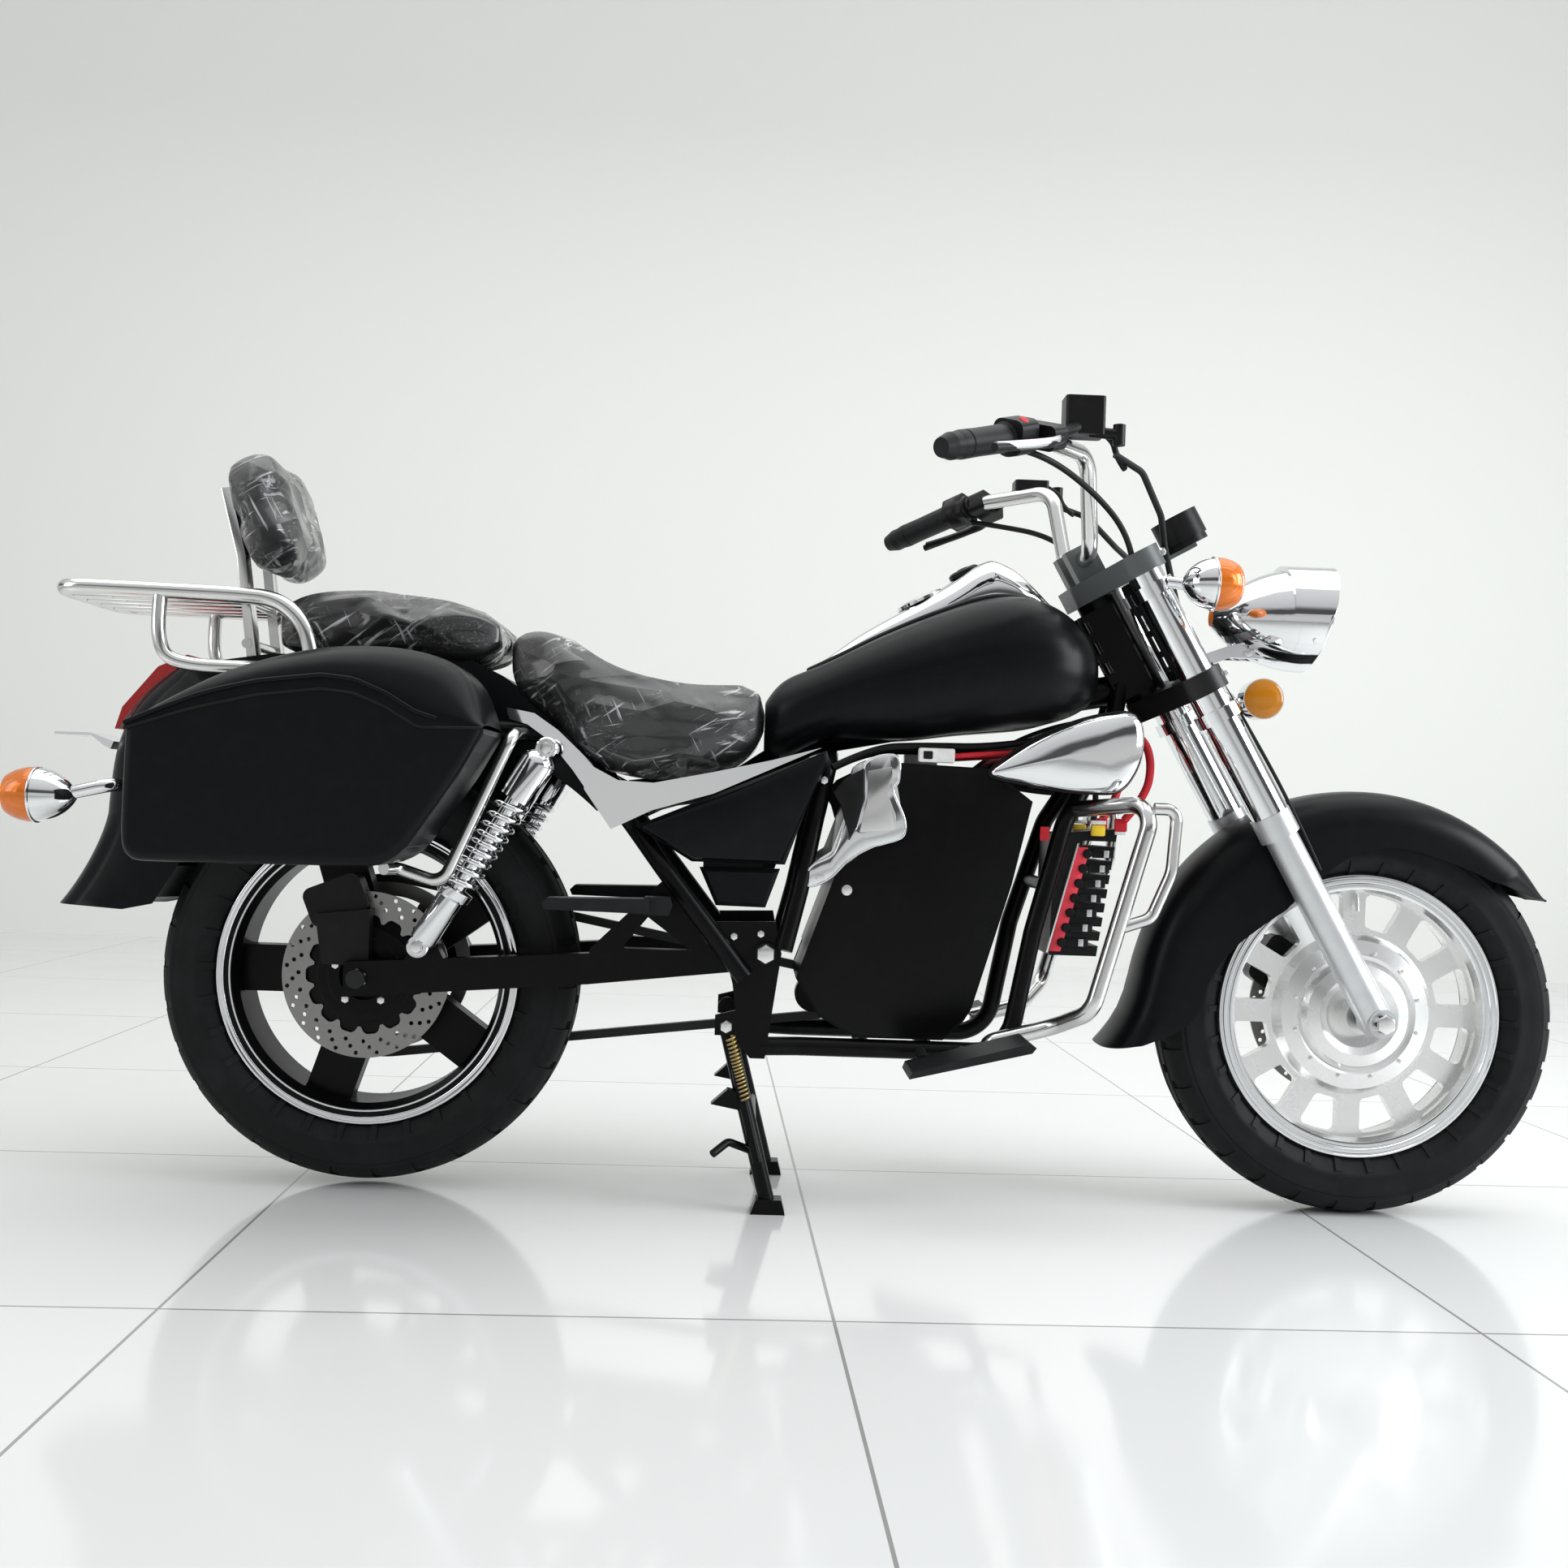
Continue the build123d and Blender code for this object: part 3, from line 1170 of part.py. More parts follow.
def belt(radius_rear, radius_front, width):
    """A closed band round both sprockets."""
    with BuildPart() as made:
        with BuildSketch(side_plane(sprocket_y + width / 2)):
            with BuildSketch(mode=Mode.PRIVATE) as pulleys:
                with Locations((0, rear_axle_z)):
                    Circle(radius_rear)
                with Locations(drive_sprocket):
                    Circle(radius_front)
            make_hull(pulleys.sketch.edges())
        extrude(amount=width)
    return made.part


with BuildPart() as drive_chain:
    add(belt(sprocket_radius + chain_depth, drive_sprocket_radius + chain_depth, chain_width))
    add(belt(sprocket_radius + seat_gap, drive_sprocket_radius, chain_width + 2),
        mode=Mode.SUBTRACT)
finish(drive_chain.part, "drive_chain")

# ---------------------------------------------------------------- centre stand
stand_leg_radius, stand_eye_radius = 12.0, 16.0
stand_top_y, stand_foot_y, stand_foot = 111.0, 129.0, (624, 12)
pad_outline = [(598, 0), (606, 22), (644, 22), (650, 0)]


def beside_leg(z):
    """The leg's axis at a height, as a point on the right side."""
    share = (stand_pivot[1] - z) / (stand_pivot[1] - stand_foot[1])
    return (stand_pivot[0] + share * (stand_foot[0] - stand_pivot[0]),
            -stand_top_y - share * (stand_foot_y - stand_top_y), z)


with BuildPart() as stand_leg:
    add(pin(stand_pivot, stand_pin_inner + 2, plate_inner - seat_gap, stand_eye_radius))
    add(bar([at(stand_pivot[0], -stand_top_y, stand_pivot[1]),
             at(stand_foot[0], -stand_foot_y, stand_foot[1])], stand_leg_radius))
    add(slab(pad_outline, -stand_foot_y + 16, -stand_foot_y - 16))
    cross_at = beside_leg(126)
    add(rod(at(*cross_at), at(cross_at[0], 0, 126), 10))
    # return spring beside the leg, on two posts
    for z in (208, 84):
        x, y, _ = beside_leg(z)
        add(rod(at(x, y, z), at(x, y - 26, z), 5))
    high, low = beside_leg(214), beside_leg(78)
    add(rod(at(high[0], high[1] - 23, 214), at(low[0], low[1] - 23, 78), 7))
    add(slab([(534, 160), (558, 182), (590, 176), (588, 150)], -stand_foot_y + 16,
             -stand_foot_y - 8))
    add(pin(stand_pivot, 0, 180, stand_pin_radius + turn_gap), mode=Mode.SUBTRACT)
    # nothing reaches under the pads
    with BuildSketch(Plane.XY):
        with Locations(at(stand_foot[0], -stand_foot_y, 0)):
            Rectangle(200, 200)
    extrude(amount=-40, mode=Mode.SUBTRACT)
with BuildPart() as centre_stand:
    add(stand_leg.part)
    mirror(about=Plane.XZ)
    add(bar([at(*beside_leg(88)), at(562, -stand_foot_y - 12, 106),
             at(540, -stand_foot_y - 34, 92)], 6.0, 12))
finish(centre_stand.part, "centre_stand")

# ---------------------------------------------------------------- crash bars and floorboards
guard_radius, guard_y, loop_radius = 12.5, 200.0, 9.0
guard_route = [(1073, -76, 618), (1170, -guard_y, 630), (1118, -guard_y, 441),
               (1085, -guard_y, 322), (1040, -135, 290), (948, -135, 266), (948, -108, 250)]
loop_route = [(1168, -guard_y, 622), (1202, -guard_y, 622), (1196, -guard_y, 530),
              (1168, -guard_y, 462), (1122, -guard_y, 446)]
with BuildPart() as crash_bar:
    add(bar([at(*p) for p in guard_route], guard_radius, [34, 90, 40, 50, 14]))
    add(bar([at(*p) for p in loop_route], loop_radius, [16, 60, 24]))
    add(tube_seats, mode=Mode.SUBTRACT)
finish(both_sides(crash_bar.part.solids().sort_by(SortBy.VOLUME)[-1]), "crash_bars")

board_outline = [(816, 226), (820, 236), (988, 282), (996, 276), (990, 268)]
board_inner, board_outer = 152.0, 258.0
with BuildPart() as floorboard:
    add(slab(board_outline, -board_inner, -board_outer))
    for x, z in ((846, 238), (906, 250)):
        add(rod(at(x, -rail_y, 246), at(x, -board_inner - 10, z), 9))
    add(tube_seats, mode=Mode.SUBTRACT)
finish(both_sides(floorboard.part.solids().sort_by(SortBy.VOLUME)[-1]), "floorboards")
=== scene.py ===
# %% [markdown]
# # Electric cruiser motorcycle, dressed
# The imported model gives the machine's exact shapes and moving bodies. This script adds what
# a construction model leaves out: seat covers, tread, springs, screws, lenses, cables and
# every finish. Lengths are metres, +X is forward, +Y is the rider's left and Z = 0 is the floor.

# %% Load the frame
import json
import math

import bmesh
import bpy
from mathutils import Matrix, Vector

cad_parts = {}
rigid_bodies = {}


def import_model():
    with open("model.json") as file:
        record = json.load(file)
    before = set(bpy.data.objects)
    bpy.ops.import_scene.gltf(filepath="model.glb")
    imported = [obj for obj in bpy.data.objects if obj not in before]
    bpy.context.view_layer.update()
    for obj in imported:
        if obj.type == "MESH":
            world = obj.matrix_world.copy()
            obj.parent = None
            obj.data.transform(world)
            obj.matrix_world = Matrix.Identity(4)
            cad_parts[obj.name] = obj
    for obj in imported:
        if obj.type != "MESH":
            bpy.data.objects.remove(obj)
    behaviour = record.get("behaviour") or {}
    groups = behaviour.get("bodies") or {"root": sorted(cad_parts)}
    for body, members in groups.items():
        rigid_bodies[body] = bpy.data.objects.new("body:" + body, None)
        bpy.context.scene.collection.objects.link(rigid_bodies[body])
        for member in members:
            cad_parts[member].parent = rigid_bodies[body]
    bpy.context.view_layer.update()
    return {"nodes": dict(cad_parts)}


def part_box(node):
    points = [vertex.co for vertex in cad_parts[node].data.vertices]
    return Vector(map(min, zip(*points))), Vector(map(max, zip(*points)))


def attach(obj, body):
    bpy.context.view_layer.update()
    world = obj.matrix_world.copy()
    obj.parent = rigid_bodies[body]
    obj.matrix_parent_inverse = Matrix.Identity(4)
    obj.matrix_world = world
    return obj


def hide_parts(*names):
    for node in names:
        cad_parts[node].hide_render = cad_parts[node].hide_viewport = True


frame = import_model()
nodes = frame["nodes"]
scene = bpy.context.scene

# %% [markdown]
# ## Stations and heights
# The machine was measured in millimetres ahead of the rear axle. `at` turns such a station,
# a width and a height into a point of the shared frame, so each piece can be placed by the same
# numbers a mechanic would read off a side drawing.

# %% Places
ORIGIN_STATION = 678.0
WHEELBASE = 1541.0
FRONT_AXLE_Z, REAR_AXLE_Z = 311.0, 328.0
RAKE = math.radians(29.4)
FORK_HALF = 112.0  # from the middle plane to a fork tube
MM = 0.001
SIDES = ((-1, "right"), (1, "left"))  # the sign of Y and the word used in names


def at(x, y, z):
    return Vector(((x - ORIGIN_STATION) * MM, y * MM, z * MM))


def on_fork(t, ahead=0.0, y=0.0):
    """t mm up the fork from the front axle, ahead of the tubes, and Y."""
    up = Vector((-math.sin(RAKE), 0, math.cos(RAKE)))
    forward = Vector((math.cos(RAKE), 0, math.sin(RAKE)))
    return at(WHEELBASE, y, FRONT_AXLE_Z) + up * t * MM + forward * ahead * MM


FORK_AHEAD = (on_fork(0, 1) - on_fork(0)).normalized()
print("front axle at", [round(v, 3) for v in on_fork(0)])

# %% [markdown]
# ## Camera, floor and light
# The camera stands low, 0.6 m above the floor and 2.5 m to the machine's right, nearly
# square to it. A pale tiled floor, a pale wall and large soft lamps give the even light of a
# workshop, and the chrome needs those broad bright areas to reflect.

# %% Camera
YAW, PITCH, ROLL = math.radians(1.34), math.radians(0.85), math.radians(2.02)
look = Vector((math.sin(YAW) * math.cos(PITCH), math.cos(YAW) * math.cos(PITCH), math.sin(PITCH)))
level = Vector((math.cos(YAW), -math.sin(YAW), 0))
upward = level.cross(look)
right = level * math.cos(ROLL) + upward * math.sin(ROLL)
above = -level * math.sin(ROLL) + upward * math.cos(ROLL)
camera = bpy.data.objects.new("camera", bpy.data.cameras.new("camera"))
scene.collection.objects.link(camera)
camera.data.lens, camera.data.sensor_width = 36.47, 36.0
eye = at(571, -2510, 605)
camera.matrix_world = Matrix(
    ((right.x, above.x, -look.x, eye.x),
     (right.y, above.y, -look.y, eye.y),
     (right.z, above.z, -look.z, eye.z),
     (0, 0, 0, 1))
)
scene.camera = camera
print("camera at", [round(v, 3) for v in camera.matrix_world.translation])

# %% [markdown]
# ## Building materials
# Each finish is a Principled shader with small textures that break up its roughness, its
# colour and its surface. `new_finish` makes the shader, `noise` adds a texture on object
# coordinates, and each finish then wires only what it needs.

# %% Material helpers
def new_finish(name, colour, roughness, metallic=0.0, **sockets):
    material = bpy.data.materials.new(name)
    material.use_nodes = True
    tree = material.node_tree
    shader = tree.nodes["Principled BSDF"]
    shader.inputs["Base Color"].default_value = (*colour, 1)
    shader.inputs["Roughness"].default_value = roughness
    shader.inputs["Metallic"].default_value = metallic
    for socket, value in sockets.items():
        shader.inputs[socket.replace("_", " ")].default_value = value
    return material, tree, shader


def add_node(tree, kind, **inputs):
    node = tree.nodes.new(kind)
    for socket, value in inputs.items():
        node.inputs[socket.replace("_", " ")].default_value = value
    return node


def object_point(tree, stretch=(1, 1, 1)):
    """Object coordinates in metres, stretched."""
    place = tree.nodes.new("ShaderNodeTexCoord")
    mapping = tree.nodes.new("ShaderNodeMapping")
    mapping.inputs["Scale"].default_value = stretch
    tree.links.new(place.outputs["Object"], mapping.inputs["Vector"])
    return mapping.outputs["Vector"]


def noise(tree, scale, detail=4.0):
    texture = add_node(tree, "ShaderNodeTexNoise", Scale=scale, Detail=detail, Roughness=0.55)
    tree.links.new(object_point(tree), texture.inputs["Vector"])
    return texture.outputs["Fac"]


def ramp(tree, value, low, high, at_low=0.3, at_high=0.7):
    """A value or colour that runs from low to high as the texture goes from at_low to at_high."""
    node = tree.nodes.new("ShaderNodeValToRGB")
    for element, place, shade in zip(node.color_ramp.elements, (at_low, at_high), (low, high)):
        element.position = place
        element.color = (shade, shade, shade, 1) if isinstance(shade, float) else (*shade, 1)
    tree.links.new(value, node.inputs["Fac"])
    return node.outputs["Color"]


def bump(tree, shader, height, strength, distance):
    node = add_node(tree, "ShaderNodeBump", Strength=strength, Distance=distance)
    tree.links.new(height, node.inputs["Height"])
    tree.links.new(node.outputs["Normal"], shader.inputs["Normal"])


print("helpers for finishes ready, materials so far", len(bpy.data.materials))

# %% [markdown]
# ## Paint, plating and castings
# The bodywork is satin black with a faint orange peel and a little dust, so its roughness
# wanders. Bright parts are nickel-chrome plate. The sliders and the front wheel are a satin
# casting with a fine sandy skin, and the frame's black is a little glossier than the body's.

# %% Paint and metal finishes
def satin_paint(name, colour, roughness, coat):
    material, tree, shader = new_finish(name, colour, roughness, Coat_Weight=coat,
                                        Coat_Roughness=0.3, Specular_IOR_Level=0.11)
    tree.links.new(ramp(tree, noise(tree, 6.0), roughness - 0.04, roughness + 0.05),
                   shader.inputs["Roughness"])
    shade = tuple(1.5 * c + 0.001 for c in colour)
    tree.links.new(ramp(tree, noise(tree, 38.0, 8.0), colour, shade, 0.5, 0.9),
                   shader.inputs["Base Color"])
    bump(tree, shader, noise(tree, 620.0, 2.0), 0.04, 0.0004)
    return material


def plated(name, colour, roughness):
    material, tree, shader = new_finish(name, colour, roughness, 1.0)
    tree.links.new(ramp(tree, noise(tree, 26.0, 6.0), roughness, roughness + 0.06, 0.4, 0.8),
                   shader.inputs["Roughness"])
    bump(tree, shader, noise(tree, 60.0, 2.0), 0.02, 0.0005)
    return material


def cast_metal(name, colour, roughness, mottle=0.9):
    material, tree, shader = new_finish(name, colour, roughness, 0.85)
    tree.links.new(ramp(tree, noise(tree, 30.0, 8.0), tuple(mottle * c for c in colour), colour),
                   shader.inputs["Base Color"])
    tree.links.new(ramp(tree, noise(tree, 12.0), roughness - 0.03, roughness + 0.04),
                   shader.inputs["Roughness"])
    bump(tree, shader, noise(tree, 900.0, 3.0), 0.08, 0.0004)
    return material


# colours are linear red, green and blue
body_paint = satin_paint("satin_black_paint", (0.0036, 0.0042, 0.005), 0.33, 0.05)
frame_paint = satin_paint("frame_black", (0.003, 0.003, 0.0034), 0.3, 0.05)
wheel_paint = satin_paint("wheel_black", (0.003, 0.003, 0.0033), 0.34, 0.04)
chrome = plated("chrome_plate", (0.8, 0.81, 0.82), 0.05)
soft_chrome = plated("soft_chrome", (0.7, 0.7, 0.69), 0.17)
alloy = cast_metal("satin_alloy", (0.72, 0.73, 0.74), 0.36)
bright_alloy = cast_metal("bright_alloy", (0.86, 0.86, 0.85), 0.27, 0.97)
dark_steel = cast_metal("dark_steel", (0.035, 0.035, 0.036), 0.42)
zinc = cast_metal("yellow_zinc", (0.5, 0.38, 0.16), 0.3)
disc_steel = plated("disc_steel", (0.3, 0.3, 0.29), 0.34)
print("materials so far", len(bpy.data.materials))

# %% [markdown]
# ## One node, two colours
# The lower fork clamp is black and the upper one is a grey casting, but both are one node of
# the construction model. Its finish reads the height on object coordinates and changes colour
# between the two.

# %% Clamp finish
def two_tone(name, low, high, height, blend):
    """A casting that changes colour at a height in metres."""
    material, tree, shader = new_finish(name, high, 0.4, 0.25)
    place = tree.nodes.new("ShaderNodeTexCoord")
    parts = tree.nodes.new("ShaderNodeSeparateXYZ")
    tree.links.new(place.outputs["Object"], parts.inputs["Vector"])
    node = add_node(tree, "ShaderNodeMapRange")
    for socket, value in (("From Min", height - blend), ("From Max", height + blend)):
        node.inputs[socket].default_value = value
    tree.links.new(parts.outputs["Z"], node.inputs["Value"])
    tree.links.new(ramp(tree, node.outputs["Result"], low, high, 0.45, 0.55),
                   shader.inputs["Base Color"])
    bump(tree, shader, noise(tree, 700.0, 3.0), 0.1, 0.0005)
    return material


clamp_paint = two_tone("clamp_paint", (0.005, 0.005, 0.0055), (0.105, 0.115, 0.115), 0.9, 0.01)
print("clamps change colour at 0.9 m")

# %% [markdown]
# ## Rubber, plastic and glass
# Rubber and moulded plastic are dark and dull with a fine grain. Lamp lenses are clear
# coloured plastic, so they take transmission, a little roughness and a wave of flutes.

# %% Rubber, plastic and lens finishes
def rubber(name, colour, roughness, grain, strength):
    material, tree, shader = new_finish(name, colour, roughness, Specular_IOR_Level=0.2)
    light = tuple(1.6 * c + 0.002 for c in colour)
    tree.links.new(ramp(tree, noise(tree, 24.0, 8.0), colour, light, 0.42, 0.8),
                   shader.inputs["Base Color"])
    bump(tree, shader, noise(tree, grain, 4.0), strength, 0.0008)
    return material


def lens(name, colour, roughness, transmission):
    material, tree, shader = new_finish(name, colour, roughness, Transmission_Weight=transmission,
                                        IOR=1.49)
    flutes = add_node(tree, "ShaderNodeTexWave", Scale=95.0, Distortion=0.0)
    flutes.bands_direction = "Y"
    tree.links.new(object_point(tree), flutes.inputs["Vector"])
    bump(tree, shader, flutes.outputs["Fac"], 0.2, 0.0012)
    return material


tyre_rubber = rubber("tyre_rubber", (0.0065, 0.0068, 0.0075), 0.62, 260.0, 0.18)
grip_rubber = rubber("moulded_rubber", (0.011, 0.012, 0.0125), 0.46, 500.0, 0.16)
plastic = rubber("black_plastic", (0.007, 0.007, 0.0075), 0.34, 800.0, 0.08)
gasket = rubber("soft_black_gasket", (0.005, 0.005, 0.005), 0.45, 300.0, 0.1)
red_lens = lens("red_lens", (0.55, 0.012, 0.012), 0.12, 0.35)
amber_lens = lens("amber_lens", (0.95, 0.24, 0.02), 0.12, 0.4)
side_amber = lens("side_amber", (0.6, 0.22, 0.008), 0.12, 0.25)
clear_lens = lens("clear_lens", (0.93, 0.95, 0.97), 0.04, 0.92)
reflector = plated("reflector_bowl", (0.9, 0.9, 0.9), 0.04)
red_plate = rubber("red_anodised", (0.72, 0.055, 0.08), 0.42, 600.0, 0.06)
red_plastic = rubber("crimson_plastic", (0.5, 0.02, 0.03), 0.4, 500.0, 0.05)
yellow_plastic = rubber("yellow_plastic", (0.8, 0.55, 0.04), 0.45, 500.0, 0.05)
white_plastic = rubber("white_plastic", (0.7, 0.7, 0.68), 0.45, 500.0, 0.05)
dial_face = rubber("dial_blue", (0.01, 0.03, 0.12), 0.2, 100.0, 0.02)
print("materials so far", len(bpy.data.materials))

# %% [markdown]
# ## Seat cover under its film
# The seat cover is pressed leather cloth, a Voronoi pebble, that still wears its clear
# wrapping film. The film is the shader's coat: a larger Voronoi creases it. Thin bright streaks
# in the base colour are painted highlights where the film's pulled folds would catch the light, and
# pale patches are its milky haze.

# %% Seat cover finish
def streaks(tree, lean, fine, low, high):
    """Fine straight streaks, fine metres thick, at a lean in degrees from level; the seat cover
    paints highlights with them.
    """
    place = tree.nodes.new("ShaderNodeTexCoord")
    mapping = tree.nodes.new("ShaderNodeMapping")
    mapping.vector_type = "TEXTURE"
    mapping.inputs["Rotation"].default_value = (0, math.radians(lean), 0)
    mapping.inputs["Scale"].default_value = (0.11, 0.035, fine)
    tree.links.new(place.outputs["Object"], mapping.inputs["Vector"])
    texture = add_node(tree, "ShaderNodeTexNoise", Scale=1.0, Detail=1.6, Distortion=0.5)
    tree.links.new(mapping.outputs["Vector"], texture.inputs["Vector"])
    return ramp(tree, texture.outputs["Fac"], 0.0, 1.0, low, high)


def combined(tree, kind, first, second):
    """A Math node of the given kind over two outputs."""
    node = tree.nodes.new("ShaderNodeMath")
    node.operation = kind
    for socket, value in zip(node.inputs, (first, second)):
        tree.links.new(value, socket)
    return node.outputs["Value"]


def seat_cover(name):
    """Pressed leather cloth that still wears its clear, crinkled wrapping film, with painted
    highlights in its colour.
    """
    material, tree, shader = new_finish(name, (0.012, 0.012, 0.013), 0.46, Coat_Weight=1.0,
                                        Coat_Roughness=0.1, Coat_IOR=1.45)
    pebble = add_node(tree, "ShaderNodeTexVoronoi", Scale=420.0)
    tree.links.new(object_point(tree), pebble.inputs["Vector"])
    bump(tree, shader, pebble.outputs["Distance"], 0.2, 0.0010)
    folds = add_node(tree, "ShaderNodeTexVoronoi", Scale=15.0, Randomness=1.0)
    tree.links.new(object_point(tree, (0.55, 1.0, 1.6)), folds.inputs["Vector"])
    crease = add_node(tree, "ShaderNodeBump", Strength=0.9, Distance=0.02)
    tree.links.new(folds.outputs["Distance"], crease.inputs["Height"])
    tree.links.new(crease.outputs["Normal"], shader.inputs["Coat Normal"])
    # painted highlights: three sets of bright streaks in the base colour stand for the glints on
    # the film's folds
    lines = combined(tree, "MAXIMUM", streaks(tree, -34, 0.0062, 0.6, 0.7),
                     streaks(tree, 62, 0.0066, 0.63, 0.72))
    lines = combined(tree, "MAXIMUM", lines, streaks(tree, -12, 0.0075, 0.62, 0.71))
    patches = ramp(tree, noise(tree, 12.0, 6.0), 0.03, 1.0, 0.44, 0.6)
    painted_glints_and_haze = combined(tree, "MULTIPLY", lines, patches)
    haze = combined(tree, "MULTIPLY", ramp(tree, noise(tree, 260.0, 3.0), 0.0, 0.3, 0.5, 0.75),
                    ramp(tree, noise(tree, 9.0, 4.0), 0.0, 1.0, 0.5, 0.62))
    painted_glints_and_haze = combined(tree, "MAXIMUM", painted_glints_and_haze, haze)
    # the base colour runs from the black leather to pale grey at the painted highlights and at the
    # film's milky haze
    tree.links.new(ramp(tree, painted_glints_and_haze, (0.007, 0.007, 0.0075), (0.5, 0.51, 0.52), 0.06, 0.9),
                   shader.inputs["Base Color"])
    tree.links.new(ramp(tree, noise(tree, 14.0), 0.05, 0.2), shader.inputs["Coat Roughness"])
    return material


seat_leather = seat_cover("pebbled_seat_cover")
print("materials in all but the stage's", len(bpy.data.materials))

# %% [markdown]
# ## Finishes for the construction model's own pieces
# Tubes, castings, covers and boxes already have their right shape, so they only change
# material. Each finish is assigned on the object, which leaves the shared mesh alone.

# %% Assign finishes to the nodes
def dress(names, material):
    for name in names:
        node = nodes[name]
        if not node.material_slots:
            node.data.materials.append(material)
        for slot in node.material_slots:
            slot.link = "OBJECT"
            slot.material = material


dress(["frame", "battery_box", "swingarm", "centre_stand"], frame_paint)
dress(["tank", "front_fender", "rear_fender", "side_covers", "bag_right", "bag_left",
       "bag_lid_right", "bag_lid_left"], body_paint)
dress(["rear_rim"], wheel_paint)
dress(["tank_console", "tank_scoops", "side_trims", "headlamp", "fork_tubes", "front_lamps",
       "rear_lamps", "plate_bracket", "shocks"], chrome)
dress(["rack", "bag_stays", "crash_bars", "handlebar"], soft_chrome)
dress(["fork_sliders"], alloy)
dress(["front_rim"], bright_alloy)
dress(["fork_clamps"], clamp_paint)
dress(["front_caliper", "rear_caliper", "speedometer"], plastic)
dress(["rear_disc", "front_disc", "rear_sprocket"], disc_steel)
dress(["drive_chain", "front_axle", "rear_axle"], dark_steel)
dress(["front_tyre", "rear_tyre"], tyre_rubber)
dress(["grips", "hoses", "passenger_pegs", "floorboards"], grip_rubber)
dress(["controls", "cooler"], plastic)
dress(["seat_front", "seat_rear", "backrest"], seat_leather)
dress(["headlamp_lens"], clear_lens)
dress(["tail_light"], red_lens)
print("finishes on", len(nodes), "nodes")

# %% [markdown]
# ## Turning a bmesh into a piece
# Every new piece goes through one helper: it merges stray doubles, points the faces outward,
# smooths across gentle edges and keeps the sharp ones, gives the finish and puts the piece on
# the body that it moves with. A second one says what each cell has made.

# %% Piece helper
def piece(name, bm, body, materials, replaces=(), sharp=32.0):
    bmesh.ops.remove_doubles(bm, verts=bm.verts, dist=1e-6)
    bmesh.ops.recalc_face_normals(bm, faces=bm.faces)
    limit = math.radians(sharp)
    for face in bm.faces:
        face.smooth = True
    for edge in bm.edges:
        edge.smooth = len(edge.link_faces) == 2 and edge.calc_face_angle(0.0) < limit
    mesh = bpy.data.meshes.new(name)
    bm.to_mesh(mesh)
    bm.free()
    made = bpy.data.objects.new(name, mesh)
    scene.collection.objects.link(made)
    for material in materials if isinstance(materials, list) else [materials]:
        made.data.materials.append(material)
    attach(made, body)
    if replaces:
        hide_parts(*replaces)
    return made


told = {thing.name for thing in scene.objects}


def tell(title):
    """Prints how many pieces and faces were made since the last call."""
    new = [thing for thing in scene.objects if thing.name not in told]
    told.update(thing.name for thing in new)
    print(title, len(new), "pieces", sum(len(thing.data.polygons) for thing in new), "faces")


tell("before the first piece:")

# %% [markdown]
# ## Turned and bent shapes
# Many bright parts are turned on a lathe. A turned shape is a profile of (along, radius)
# pairs spun round its axis, which keeps every rim and groove truly round. A screw head is a
# short cone whose outer rim is bevelled.

# %% Lathe and bolt helpers
def facing(direction):
    """A turn that takes +Z to the direction."""
    return Vector(direction).to_track_quat("Z", "Y").to_matrix().to_4x4()


def turned(bm, profile, centre, direction, steps=48, closed=True, material=0):
    """Spins (along, radius) points in mm about an axis through centre."""
    made = [bm.verts.new((radius * MM, 0, along * MM)) for along, radius in profile]
    pairs = list(zip(made, made[1:]))
    if closed and profile[0][1] > 0.01 and profile[-1][1] > 0.01:
        pairs.append((made[-1], made[0]))
    edges = [bm.edges.new(pair) for pair in pairs]
    bmesh.ops.spin(bm, geom=made + edges, cent=(0, 0, 0), axis=(0, 0, 1),
                   angle=2 * math.pi, steps=steps, use_merge=True)
    # the shape's own vertices are those that edges join to the profile, in the order in
    # which they are reached
    grown, reached = dict.fromkeys(made), made
    while reached:
        nearby = dict.fromkeys(e.other_vert(v) for v in reached for e in v.link_edges)
        reached = [v for v in nearby if v not in grown]
        grown.update(dict.fromkeys(reached))
    verts = list(grown)
    bmesh.ops.remove_doubles(bm, verts=verts, dist=2e-6)
    verts = [v for v in verts if v.is_valid]
    bmesh.ops.transform(bm, matrix=Matrix.Translation(centre) @ facing(direction), verts=verts)
    for face in {f for v in verts for f in v.link_faces}:
        face.material_index = material
    return verts


HEAD_TAPER, HEAD_BEVEL = 0.94, 0.16  # shares of a screw head's radius


def bolt(bm, place, direction, radius=5.0, height=4.0, sides=6):
    """A screw head whose foot is at the place."""
    before = set(bm.verts)
    head = bmesh.ops.create_cone(bm, cap_ends=True, segments=sides, radius1=radius * MM,
                                 radius2=radius * MM * HEAD_TAPER, depth=height * MM)["verts"]
    rims = dict.fromkeys(e for v in head for e in v.link_edges
                         if len(e.link_faces) == 2 and all(w.co.z > 0 for w in e.verts))
    bmesh.ops.bevel(bm, geom=list(rims), offset=HEAD_BEVEL * radius * MM, segments=2,
                    profile=0.5, affect="EDGES", material=-1)
    head = [v for v in bm.verts if v not in before]
    middle = Vector(place) + Vector(direction).normalized() * height * MM / 2
    bmesh.ops.transform(bm, matrix=Matrix.Translation(middle) @ facing(direction), verts=head)


print("a screw head tapers to", HEAD_TAPER, "of its radius")

# %% [markdown]
# ## Bars, hoses and cables
# A bar or a cable has a round section along a smooth line. A curve with a bevel depth draws
# exactly that, and it is then turned into a mesh, because the other tools work on meshes.

